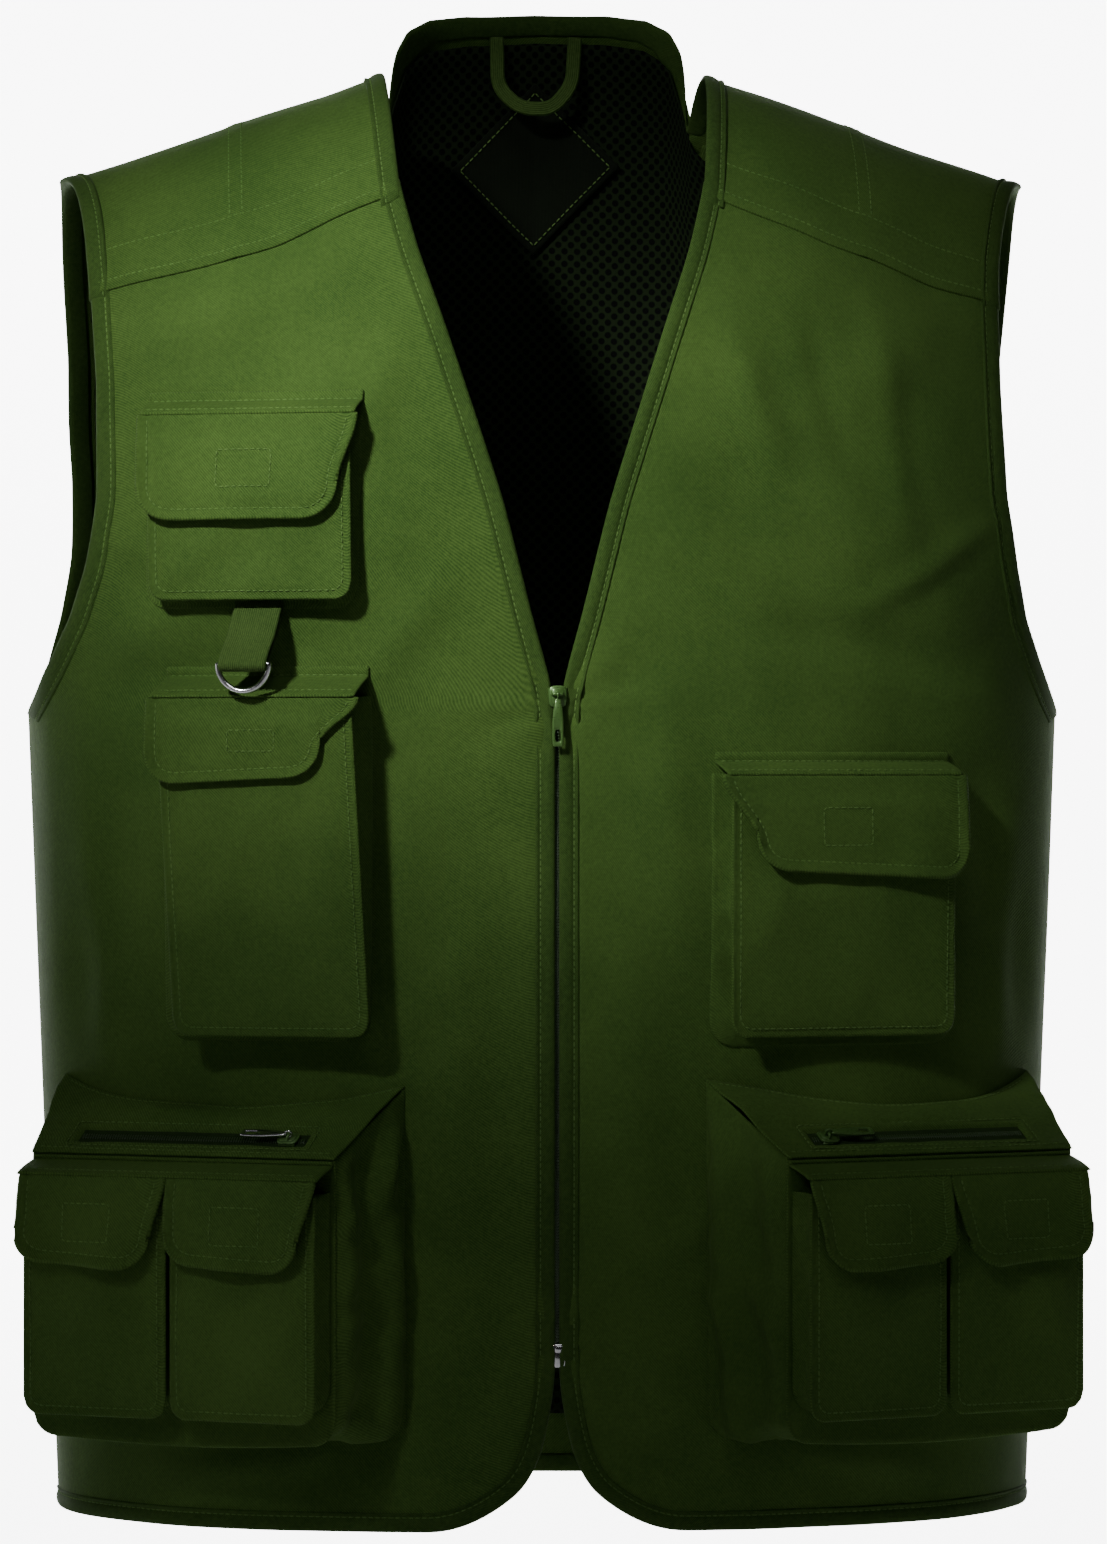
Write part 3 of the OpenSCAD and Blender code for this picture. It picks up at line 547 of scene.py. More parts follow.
MESH_PITCH = 4.6 * MM
TWILL = cloth_material("twill", (0.022, 0.055, 0.008), (0.062, 0.118, 0.022))
# The binding is the same cloth as the twill, but its colours are set darker: painted shade for the shadow
# lines along its edges.
BINDING_DARKENED_FOR_SHADE = cloth_material("binding", (0.015, 0.038, 0.005), (0.043, 0.086, 0.016), weave=560.0)
WEBBING = cloth_material("webbing", (0.02, 0.047, 0.008), (0.056, 0.1, 0.022), weave=300.0, bump=0.8,
                         ribs=True)
THREAD = cloth_material("thread", (0.06, 0.12, 0.028), (0.15, 0.25, 0.07), weave=900.0, bump=0.1)
TAPE = cloth_material("zip_tape", (0.006, 0.016, 0.003), (0.018, 0.038, 0.008), weave=700.0, bump=0.4)
COIL = metal_material("nylon_coil", (0.03, 0.06, 0.02), 0.0, 0.35)
PATCH = cloth_material("patch", (0.0015, 0.003, 0.001), (0.005, 0.009, 0.003), weave=600.0)
PILE = cloth_material("pile", (0.008, 0.016, 0.004), (0.02, 0.036, 0.01), weave=1400.0, bump=0.9)
# The lining's near-black colours are matched to how it looks in the shade inside the back: painted shade on
# top of the mesh's own colour.
MESH = mesh_material_with_painted_shade("mesh_lining", (0.0008, 0.0014, 0.0008), (0.008, 0.015, 0.005))
GREEN_METAL = metal_material("green_enamel", (0.07, 0.15, 0.035), 0.35, 0.3)
CHROME = metal_material("nickel", (0.82, 0.82, 0.84), 1.0, 0.16)


# ---- Torso -----------------------------------------------------------------------------------

SIDES = {"right": -1, "left": 1}


def turned(grid, side):
    """Puts a grid made from the centre outwards in order for its side of the vest."""
    return grid if side > 0 else grid[:, ::-1]


COLUMN_CROWD = 2 / ROUND_N


EDGE_IN, CORNER_Z = 2.0, 26.0                        # the cloth's edge in its binding, its corner
HEM_EASE, YOKE_START = 60.0, 560.0                   # rows ease to the hem below, and to the yoke above
COLUMNS = 66


def front_places(side):
    """x and z of a front's cloth, from the hem to the yoke seam and from the zip to the side."""
    share = np.sin(np.linspace(0, math.pi / 2, COLUMNS + 1)) ** COLUMN_CROWD
    xs, zs = [], []
    for z in np.concatenate([np.linspace(0, HEM_EASE, 16)[:-1], np.linspace(HEM_EASE, YOKE_START, 146)]):
        near = float(edge_x(max(z, CORNER_Z))) + EDGE_IN
        lowered = max(0.0, 1 - z / HEM_EASE)
        far = float(arm_x(z + 1.5 * lowered, -1)) - (1.0 if z > UNDERARM_Z + 4 else 0.0)
        x = near + (far - near) * share
        xs.append(x)
        zs.append(z + (hem_z(x) + 1.5) * lowered)
    for f in np.linspace(0, 1, 22)[1:]:
        near = float(edge_x(YOKE_START + 86 * f)) + EDGE_IN
        x = near + (float(arm_x(YOKE_START + 32 * f, -1)) - 1.0 - near) * share
        xs.append(x)
        zs.append(YOKE_START + (yoke_z(x) + 1.0 - YOKE_START) * f)
    return np.array(xs) * side, np.array(zs)


def build_front(name, side):
    """A front's cloth, from the hem to the yoke seam."""
    x, z = front_places(side)
    inner = np.clip(1 - (np.abs(x) - edge_x(np.maximum(z, CORNER_Z)) - EDGE_IN) / 9, 0, 1)
    obj = Patch(turned(front(x, z, 0.6 - 0.5 * inner), side)).build(f"front_{name}", TWILL)
    place(obj, f"front_{name}", "twill", [f"front_panel_{name}"])


TAPE_STEP, TAPE_STITCH_IN = 2.4, 6.5
TAPE_SECTION = [(-0.2, -0.7), (-0.6, 0.2), (-0.25, 1.3), (0.9, 1.95), (2.7, 2.1), (4.6, 1.9), (5.8, 1.45),
                (6.5, 0.95), (7.1, 1.25), (7.8, 1.85), (8.5, 1.75), (8.95, 1.1), (8.8, 0.1),
                (8.4, -0.8), (7.0, -1.3), (3.0, -1.45), (0.6, -1.2)]


def tape(name, body, replaces, at, lift=0.0):
    """Folded binding as a rounded tube round the cloth's edge, with a row of stitches. at(a, h) gives
    the line of places a inwards from the edge and h outside the cloth."""
    line = at(0.0, 0.0)
    run = run_along(line)
    pucker = 0.16 * np.sin(run * 2 * math.pi / 5.8) + 0.35 * wander(run, run * 0, 23, 5.5)
    columns = []
    for a, h in TAPE_SECTION:
        move = 0.5 if 2 < a < 8.8 and h > 0.5 else 0.15
        columns.append(at(a, (h + lift if h > 0 else h) + pucker * move))
    grid = np.stack(columns + [columns[0]], 1)
    rows, cols = grid.shape[:2]
    around = np.concatenate([[0], np.cumsum(np.linalg.norm(np.diff(grid, axis=1), axis=2).mean(0))])
    uv = np.stack(np.broadcast_arrays(around[None, :] * MM, run[:, None] * MM), -1)
    caps = [tuple(range(cols - 2, -1, -1)), tuple((rows - 1) * cols + c for c in range(cols - 1))]
    obj = make_object(name, grid.reshape(-1, 3), grid_faces(rows, cols) + caps, BINDING_DARKENED_FOR_SHADE, uv.reshape(-1, 2))
    weld(obj)
    on, above = (at(TAPE_STITCH_IN, h + lift) for h in (1.0, 3.0))
    stitch(body, on, unit(above - on), 0.2)
    place(obj, body, "binding", replaces)


def across_line(line):
    """Unit directions square to a line of [x, z] places, to its left."""
    tangent = unit(np.gradient(line, axis=0))
    return np.stack([-tangent[:, 1], tangent[:, 0]], -1)


def tape_along(places, s, body, name, replaces, inward):
    """Binding along a line of [x, z] places on the front (s = -1) or the back (s = 1). inward is the
    side of the line that the cloth is on."""
    surface = front if s < 0 else back
    places = resample(places, TAPE_STEP, surface(places[:, 0], places[:, 1]))
    normal = across_line(places) * inward

    def at(a, h):
        q = places + normal * a
        return surface(q[:, 0], q[:, 1], h)
    tape(name, body, replaces, at)


def ease(rows, joints):
    """Rounds a line of places near the given joints, so that pieces of it meet without a kink."""
    reach, times = 7, 14
    rows = rows.copy()
    weight = np.zeros(len(rows))
    for j in joints:
        weight[max(0, j - reach):j + reach] = 0.5
    weight[0] = weight[-1] = 0
    for _ in range(times):
        smooth = rows.copy()
        smooth[1:-1] = (rows[:-2] + rows[2:]) / 2
        rows = rows + (smooth - rows) * weight[:, None]
    return rows


def shares(h, *counts):
    """Splits heights over a whole line, or one height, into the line's pieces."""
    whole = np.broadcast_to(np.asarray(h, float), (sum(counts),))
    return np.split(whole, np.cumsum(counts)[:-1])


def neck_tape():
    """The binding from one front's yoke seam round the back of the neck to the other's."""
    turns = np.linspace(-0.015, 0.99, 60)
    xs = 75.6 * np.cos(np.linspace(0.05, math.pi - 0.05, 90))
    neck = resample(np.stack([xs, np.interp(np.abs(xs), *BACK_NECK_S)], -1), TAPE_STEP)
    normal = across_line(neck)
    normal = normal * np.where(normal[len(neck) // 2, 1] < 0, 1, -1)

    def at(a, h):
        first, mid, last = shares(h, len(turns), len(neck), len(turns))
        left = shoulder(yoke_in(turns) + a, turns, first + 0.3)
        right = shoulder(-yoke_in(turns) - a, turns, last[::-1] + 0.3)[::-1]
        q = neck + normal * a
        middle = back(q[:, 0], q[:, 1] + BINDING_W, mid)
        rows = np.concatenate([left, middle, right])
        return ease(rows, [len(turns), len(turns) + len(neck)])
    tape("neck_tape", "back", ["neck_binding"], at, 0.25)


def back_armhole_tape(name, side):
    """Binding over the shoulder and down the back of an armhole."""
    turns = np.linspace(-0.01, 0.97, 56)
    heights = UNDERARM_Z + 0.3 + 234.7 * np.linspace(1, 0, 130) ** 2.2

    def at(a, h):
        over, below = shares(h, len(turns), len(heights))
        upper = shoulder((yoke_out(turns) - a) * side, turns, over + 0.3)
        lower = back((arm_x(heights, 1) - a) * side, heights, below)
        return ease(np.concatenate([upper, lower]), [len(turns)])
    tape(f"back_armhole_tape_{name}", "back", [f"back_armhole_binding_{name}"], at, 0.2)


def weld(obj):
    """Closes a tube's seam, drops doubled vertices and turns all faces outwards."""
    bm = bmesh.new()
    bm.from_mesh(obj.data)
    bmesh.ops.remove_doubles(bm, verts=bm.verts, dist=1e-6)
    bmesh.ops.recalc_face_normals(bm, faces=bm.faces)
    bm.to_mesh(obj.data)
    bm.free()


def resample(line, step, measure=None):
    """The line with places step apart, as measured along it or along the places in measure."""
    line = np.asarray(line, float)
    run = run_along(line if measure is None else measure)
    s = np.linspace(0, run[-1], max(3, int(run[-1] / step)))
    return np.stack([np.interp(s, run, line[:, i]) for i in range(line.shape[1])], -1)


def yoke_lift(x, turn):
    """The angle over the shoulder: turn is 0 at the front seam, 0.5 on the ridge, 1 at the back."""
    front_t = (yoke_z(x) - 1.5 - ARCH_Z) / (ridge(x, -1) - ARCH_Z)
    start = np.arcsin(np.clip(front_t, 0, 1) ** (ARCH_N / 2))
    finish = math.asin((BACK_SEAM_T - 0.01) ** (ARCH_N / 2))
    quarter = math.pi / 2
    return np.where(turn <= 0.5, start + (quarter - start) * turn * 2,
                    quarter + (quarter - finish) * (turn - 0.5) * 2)


def yoke_point(x, turn, d):
    """A place on the shoulder yoke, over the ridge."""
    angle = yoke_lift(x, turn)
    t = np.clip(np.sin(angle), 0, 1) ** (2 / ARCH_N)
    lean = signed_power(np.cos(angle), 2 / ARCH_N)
    z = ARCH_Z + t * (ridge(x, -1) - ARCH_Z)
    u, across = section(x, z)
    depth = np.where(lean >= 0, FRONT_DEPTH, BACK_DEPTH) + d
    return np.stack([np.sign(x) * u * (half_w(z) + d), -depth * across * lean, z + d * t], -1)


def shoulder(x, turn, d):
    """A place on the shoulder's cloth, which shares the folds of the front and the back."""
    x, turn = np.broadcast_arrays(np.asarray(x, float), np.asarray(turn, float))
    z = yoke_point(x, turn, 0)[..., 2]
    return yoke_point(x, turn, d + np.where(turn < 0.5, folds(x, z, -1), 0.9 * folds(x, z, 1)))


def yoke_in(turn):
    return NECK_HALF - np.where(turn < 0.5, 6.2 * np.clip(1 - turn * 2, 0, 1.1) ** 2,
                                4.5 * np.clip(turn * 2 - 1, 0, 1) ** 1.5)


def yoke_out(turn):
    return np.where(turn <= 0.5, 221 + 18 * np.clip(turn * 2, 0, 1) ** 1.4, 239 - 2 * (turn - 0.5))


SHOULDER_SEAM_X, YOKE_STITCH_LIFT = 150.0, 0.75


def build_yoke(name, side):
    """A shoulder yoke with its seams and the two rows of the shoulder seam."""
    turns = np.linspace(0, 1, 56)[:, None]
    across = np.linspace(0, 1, 46)[None, :]
    x = yoke_in(turns) + 1.5 + (yoke_out(turns) - yoke_in(turns) - 3) * across
    turns = np.broadcast_to(turns, x.shape)
    seam = 0.55 * np.exp(-((x - SHOULDER_SEAM_X - 3) / 3.2) ** 2)
    lap = 1.1 * np.clip(1 - turns / 0.07, 0, 1) + 0.8 * np.clip((turns - 0.94) / 0.04, 0, 1)
    soft = 1.3 * wander(x * side, turns * 150, 50, 1.5 + side) * np.clip((x - 88) / 20, 0, 1)
    p = shoulder(x * side, turns, 0.35 + seam + lap + soft * np.clip(turns / 0.15, 0, 1))
    patch = Patch(turned(p, side))
    obj = patch.build(f"yoke_{name}_cloth", TWILL, t=1.4)
    place(obj, "back", "twill", [f"yoke_{name}"])
    def on_yoke(u, turn):
        if side < 0:
            u = 1 - np.asarray(u)
        return patch.sample(u, turn)
    u = np.linspace(0.01, 0.99, 60)
    for turn in (0.018, 0.085, 0.975, 0.93):
        stitch("back", *on_yoke(u, np.full(len(u), turn)), lift=YOKE_STITCH_LIFT)
    t = np.linspace(0.09, 0.6, 40)
    for offset in (0.0, 6.0):
        lane = (SHOULDER_SEAM_X + offset - yoke_in(t) - 1.5) / (yoke_out(t) - yoke_in(t) - 3)
        stitch("back", *on_yoke(lane, t), lift=YOKE_STITCH_LIFT)


def back_places(side_in, top_out, low, cols):
    """x and z of the back's cloth, held in from its sides and past its top edge by the given sizes."""
    share = signed_power(np.sin(np.linspace(-math.pi / 2, math.pi / 2, cols + 1)), COLUMN_CROWD)
    xs, zs = [], []
    for z in np.linspace(low, 590, 150):
        x = (float(arm_x(z, 1)) - (side_in if z > UNDERARM_Z else (side_in - 0.3) * 0.02)) * share
        xs.append(x)
        zs.append(np.full_like(x, z))
    for f in np.linspace(0, 1, 26)[1:]:
        x = (237 - side_in) * share
        xs.append(x)
        zs.append(590 + (back_top(x) + top_out - 590) * f)
    return np.array(xs)[:, ::-1], np.array(zs)[:, ::-1]


def build_back():
    obj = Patch(back(*back_places(0.3, 3.0, 0.5, 150), 0.5)).build("back_panel_cloth", TWILL)
    place(obj, "back", "twill", ["back_panel"])


def build_lining():
    obj = Patch(back(*back_places(9.0, -2.0, 30.0, 120), -3.4)).build("mesh_lining_cloth", MESH, t=0.7)
    place(obj, "back", "mesh", ["mesh_lining"])


for side_name, side_sign in SIDES.items():
    build_front(side_name, side_sign)
    build_yoke(side_name, side_sign)
build_back()
build_lining()


def front_edge(side):
    """The front's open edge: round the lower corner, up the zip and along the V neck."""
    low = math.asin((14 / HEM_HALF) ** (ROUND_N / 2))
    hem_x = HEM_HALF * np.sin(np.linspace(math.pi / 2, low, 260)) ** COLUMN_CROWD
    corner = np.stack([hem_x, hem_z(hem_x)], -1)
    zs = np.linspace(32, 648, 250)
    upper = np.stack([edge_x(zs), zs], -1)
    line = np.concatenate([corner, upper])
    for _ in range(6):
        line[1:-1] = (line[:-2] + 2 * line[1:-1] + line[2:]) / 4
    line[:, 0] *= side
    return line


for side_name, side_sign in SIDES.items():
    body = f"front_{side_name}"
    tape_along(front_edge(side_sign), -1, body, f"front_edge_tape_{side_name}",
               [f"front_edge_binding_{side_name}", f"hem_binding_{side_name}"], inward=-side_sign)
    heights = UNDERARM_Z + 0.3 + 208 * np.linspace(0, 1, 300) ** 2.4
    arm = np.stack([side_sign * arm_x(heights, -1), heights], -1)
    tape_along(arm, -1, body, f"armhole_tape_{side_name}", [f"armhole_binding_{side_name}"],
               inward=side_sign)
    back_armhole_tape(side_name, side_sign)
hem_xs = HEM_HALF * signed_power(np.sin(np.linspace(-math.pi / 2, math.pi / 2, 420)), COLUMN_CROWD)
tape_along(np.stack([hem_xs, 0 * hem_xs], -1), 1, "back", "back_hem_tape", ["back_hem_binding"], 1.0)
neck_tape()

# ---- Pocket frames ---------------------------------------------------------------------------

class Place:
    """A pocket's frame on the left half: x along its face, -y outwards, z up. side mirrors it."""

    def __init__(self, origin, turn, tilt, side):
        c, s, ct, st = math.cos(turn), math.sin(turn), math.cos(tilt), math.sin(tilt)
        about_z = np.array([[c, -s, 0], [s, c, 0], [0, 0, 1]])
        self.turn = about_z @ np.array([[1, 0, 0], [0, ct, -st], [0, st, ct]])
        self.origin = np.array(origin, float)
        self.side = side

    def out(self, p):
        return (np.asarray(p, float) @ self.turn.T + self.origin) * np.array([self.side, 1, 1])

    def local(self, p):
        return (np.asarray(p, float) * np.array([self.side, 1, 1]) - self.origin) @ self.turn

    def way(self, v):
        return (np.asarray(v, float) @ self.turn.T) * np.array([self.side, 1, 1])

    def moved(self, x, y, z):
        placed = Place((0, 0, 0), 0, 0, self.side)
        placed.turn = self.turn
        placed.origin = np.array([x, y, z], float) @ self.turn.T + self.origin
        return placed

    def tipped(self, angle):
        placed = self.moved(0, 0, 0)
        c, s = math.cos(angle), math.sin(angle)
        placed.turn = self.turn @ np.array([[1, 0, 0], [0, c, -s], [0, s, c]])
        return placed


def on_front(x0, x1, z0, z1, side):
    """The frame of a pocket whose face spans x0 to x1 and z0 to z1 on a front."""
    a, b = torso(x0, z0, 0, -1), torso(x1, z0, 0, -1)
    top, low = torso((x0 + x1) / 2, z1, 0, -1), torso((x0 + x1) / 2, z0, 0, -1)
    origin = ((a[0] + b[0]) / 2, (a[1] + b[1]) / 2, z0)
    return Place(origin, math.atan2(b[1] - a[1], b[0] - a[0]), -math.atan2(top[1] - low[1], z1 - z0), side)


def behind(place, x, z, d=1.7):
    """Where the front's cloth lies behind places of a pocket's face, in the pocket's frame."""
    x, z = np.broadcast_arrays(np.asarray(x, float), np.asarray(z, float))
    vx, vz = place.origin[0] + x * place.turn[0, 0], place.origin[2] + z
    for _ in range(5):
        q = place.local(front(vx * place.side, vz, d))
        vx, vz = vx + (x - q[..., 0]) * place.turn[0, 0], vz + (z - q[..., 2])
    return place.local(front(vx * place.side, vz, d))


def cloth_grid(place, local, name, material, t=CLOTH_T, rim=0.4):
    """Builds a grid given in a pocket's frame, with its outside to the pocket's front."""
    return facing(place.out(local), place.way((0, -1, 0))).build(name, material, t=t, rim=rim)


def stitch_on(place, body, surface, line, t, step=1.5):
    """A row of stitches along a line of [x, z] places on a piece whose middle is surface(x, z)."""
    line = resample(line, step)
    x, z = line[:, 0], line[:, 1]
    def at(x, z):
        return np.stack([x, surface(x, z), z], -1)
    e = 0.6
    n = unit(np.cross(at(x + e, z) - at(x - e, z), at(x, z + e) - at(x, z - e)))
    n = n * np.where(n[:, 1:2] > 0, -1, 1)
    stitch(body, place.out(at(x, z) + n * t / 2), place.way(n), 0.15)


def ridged(x, z, size, seed):
    """Noise with sharp crests, like the creases of crumpled cloth; about 0."""
    return 0.55 - 2.2 * np.abs(wander(x, z, size, seed))


def crowd(a, b, n, ends=0.6):
    """n places from a to b that crowd together at both ends."""
    t = np.linspace(0, 1, n)
    return a + (b - a) * (t * (1 - ends) + ends * (1 - np.cos(t * math.pi)) / 2)


def u_path(x0, x1, top, low, r, steps=(44, 9, 46)):
    """Down the left side, round both lower corners and up the right side, with outward ways."""
    sides, arc, across = steps
    angles = np.linspace(0, math.pi / 2, arc + 2)[1:-1]
    left = [((x0, z), (-1, 0)) for z in np.linspace(top, low + r, sides)]
    turn = [((x0 + r - r * math.cos(a), low + r - r * math.sin(a)), (-math.cos(a), -math.sin(a)))
            for a in angles]
    base = [((x, low), (0, -1)) for x in np.linspace(x0 + r, x1 - r, across)]
    turn2 = [((x1 - r + r * math.sin(a), low + r - r * math.cos(a)), (math.sin(a), -math.cos(a)))
             for a in angles]
    right = [((x1, z), (1, 0)) for z in np.linspace(low + r, top, sides)]
    rows = left + turn + base + turn2 + right
    return np.array([p for p, _ in rows], float), np.array([n for _, n in rows], float)


# ---- Pouches, bands and flaps ------------------------------------------------------------------

def corner_rise(inset, r):
    """How far a lower corner rounded to r rises above the bottom line, inset from the side."""
    near = np.clip(r - inset, 0, r)
    return r - np.sqrt(np.maximum(r ** 2 - near ** 2, 0))


FLANGE = 2.3          # the pressed edge that stands out round a pocket's face


def gusset(place, name, body, rim, rim_out, base, shape, close=0.0):
    """The pleated cloth between a face's rim and the line where the pocket is sewn on. shape(s, k)
    gives how far it stands out at the run s and the fraction k from the face, less and less over the
    last stretch, close long, at both ends of the run."""
    k = np.concatenate([[0, 0.03], np.linspace(0.09, 0.93, 15), [0.975, 1.0]])
    run = run_along(rim)
    across = unit(base - rim)
    out = unit(rim_out - across * np.sum(rim_out * across, -1, keepdims=True))
    s, kk = np.meshgrid(run, k, indexing="ij")
    grid = rim[:, None] * (1 - kk[..., None]) + base[:, None] * kk[..., None]
    ends = np.clip(np.minimum(s, run[-1] - s) / close, 0, 1) if close else 1.0
    grid = grid + out[:, None] * (shape(s, kk) * ends * np.clip(kk * (1 - kk) * 12, 0, 1))[..., None]
    middle = len(run) // 2
    patch = facing(place.out(grid), place.way(out[middle]), (middle, 8))
    obj = patch.build(name, TWILL, t=0.9)
    place_piece(obj, body, patch)
    return obj


def cut_size(patch):
    """The flat cut of a piece in metres: its width, its length and its area."""
    p = patch.points * MM
    right, up = np.diff(p, axis=1), np.diff(p, axis=0)
    width = np.linalg.norm(right, axis=2).sum(1).max()
    length = np.linalg.norm(up, axis=2).sum(0).max()
    area = np.linalg.norm(np.cross(right[:-1], up[:, :-1]), axis=2).sum()
    return (width, length), float(np.clip(area, 0.31 * width * length, width * length))


def place_piece(obj, body, patch=None, node_slot="twill", replaces=(), flat=None):
    """Rides a cloth piece on its body. Its flat cut, as long as its own cloth, is worked out but not stated.
    """
    place(obj, body, node_slot, replaces)
    area = None
    if flat is None:
        flat, area = cut_size(patch)
    return obj


def pouch(name, place_at, w, h, d, body, replaces, bulge=3.0, lean=0.0, out=3.0, seed=0.0, inward=0.3,
          attach=None, drop=0.0):
    """A pocket's face with a pressed, stitched edge, and the pleated gusset behind it."""
    half = w / 2
    def shear(x, z):
        return x + lean * (1 - np.clip(z, 0, h) / h)
    def face_y(x, z):
        u, v = np.clip(np.abs(x) / half, 0, 1), np.clip(z / h, 0, 1)
        edge = np.minimum.reduce([half - np.abs(x), z + drop])
        below = np.clip((1 - v) / 0.45, 0, 1) ** 1.5
        puff = bulge * (1 - u ** 2.2) * np.sin(math.pi * np.clip(1 - v, 0, 1) ** 0.8) * below
        dent = 0.45 * np.exp(-((edge - FLANGE) / 1.1) ** 2)
        soft = 2.4 * wander(x, z, 42, seed) + 1.7 * ridged(x + z * 0.4, z * 0.6, 46, seed + 3)
        return -d - puff - soft * np.clip(edge / 14, 0, 1) * np.clip(below, 0.1, 1) + dent
    xs = np.concatenate([[-half, -half + 1.2], crowd(-half + FLANGE, half - FLANGE, 48, 0.35),
                         [half - 1.2, half]])
    rows = np.concatenate([[0, 0.01], np.linspace(0.022, 1, 46)])
    low = corner_rise(half - np.abs(xs), 8.0) - drop
    x = np.broadcast_to(xs, (len(rows), len(xs)))
    z = low + (h - low) * rows[:, None]
    grid = np.stack([shear(x, z), face_y(x, z), z], -1)
    obj = cloth_grid(place_at, grid, f"{name}_face", TWILL, t=1.5)
    place_piece(obj, body, Patch(grid), replaces=replaces)
    rim2, way2 = u_path(-half + FLANGE, half - FLANGE, h, FLANGE - drop, 6.5)
    rim = np.stack([shear(rim2[:, 0], rim2[:, 1]), np.full(len(rim2), -d + 1.1), rim2[:, 1]], -1)
    base2, _ = u_path(-half - out, half + out, h + 1, -out - drop * 0.4, 12.0)
    if attach is None:
        base = behind(place_at, base2[:, 0], base2[:, 1])
    else:
        base = attach(base2[:, 0], base2[:, 1])
    rim_out = np.stack([way2[:, 0], np.zeros(len(way2)), way2[:, 1]], -1)
    def shape(s, k):
        pleat = -inward * d * (1 - np.abs(2 * k - 1) ** 1.3)
        crumple = 1.6 * ridged(s + k * 9, k * 26, 24, seed + 7) + 0.8 * wander(s, k * 22, 10, seed + 9)
        return pleat * (1 + 0.5 * wander(s, s * 0, 40, seed + 5)) + crumple
    gusset(place_at, f"{name}_gusset", body, rim, rim_out, base, shape)
    edge = 1.6
    path, _ = u_path(-half + edge + FLANGE, half - edge - FLANGE, h - 1, edge + FLANGE - drop, 5.0)
    def on_face(x, z):
        return face_y(x - lean * (1 - np.clip(z, 0, h) / h), z)
    path[:, 0] = shear(path[:, 0], path[:, 1])
    stitch_on(place_at, body, on_face, path, 1.5)
    return on_face


def band(name, place_at, w, h, d, up, body, replaces, attach=None, over=5.0, seed=0.0):
    """The strip over a pocket: sewn to the front and sloping out to the flap's hinge."""
    xs = crowd(-w / 2, w / 2, 60, 0.3)
    flat = attach or (lambda x, z: behind(place_at, x, z, 2.0))
    top, knee = flat(xs, np.full_like(xs, h + up + over)), flat(xs, np.full_like(xs, h + up + 0.5))
    wave = 0.5 * wander(xs, xs * 0, 25, seed + 2)
    hinge = np.stack([xs, np.full_like(xs, -d - 2.5), np.full_like(xs, h + 1.1)], -1)
    rows = []
    for t in np.linspace(0, 1, 9):
        rows.append(hinge * (1 - t) + knee * t)
        rows[-1][:, 1] -= 1.6 * math.sin(math.pi * t) + wave * math.sin(math.pi * t)
    rows += [knee * (1 - t) + top * t for t in (0.3, 0.65, 1.0)]
    grid = np.array(rows)
    patch = facing(place_at.out(grid), place_at.way((0, -1, 0)))
    obj = patch.build(name, TWILL, t=1.5, rim=0.5)
    place_piece(obj, body, patch, replaces=replaces)
    stitch_across(body, patch, (0.17, 0.74), 80, 0.85)


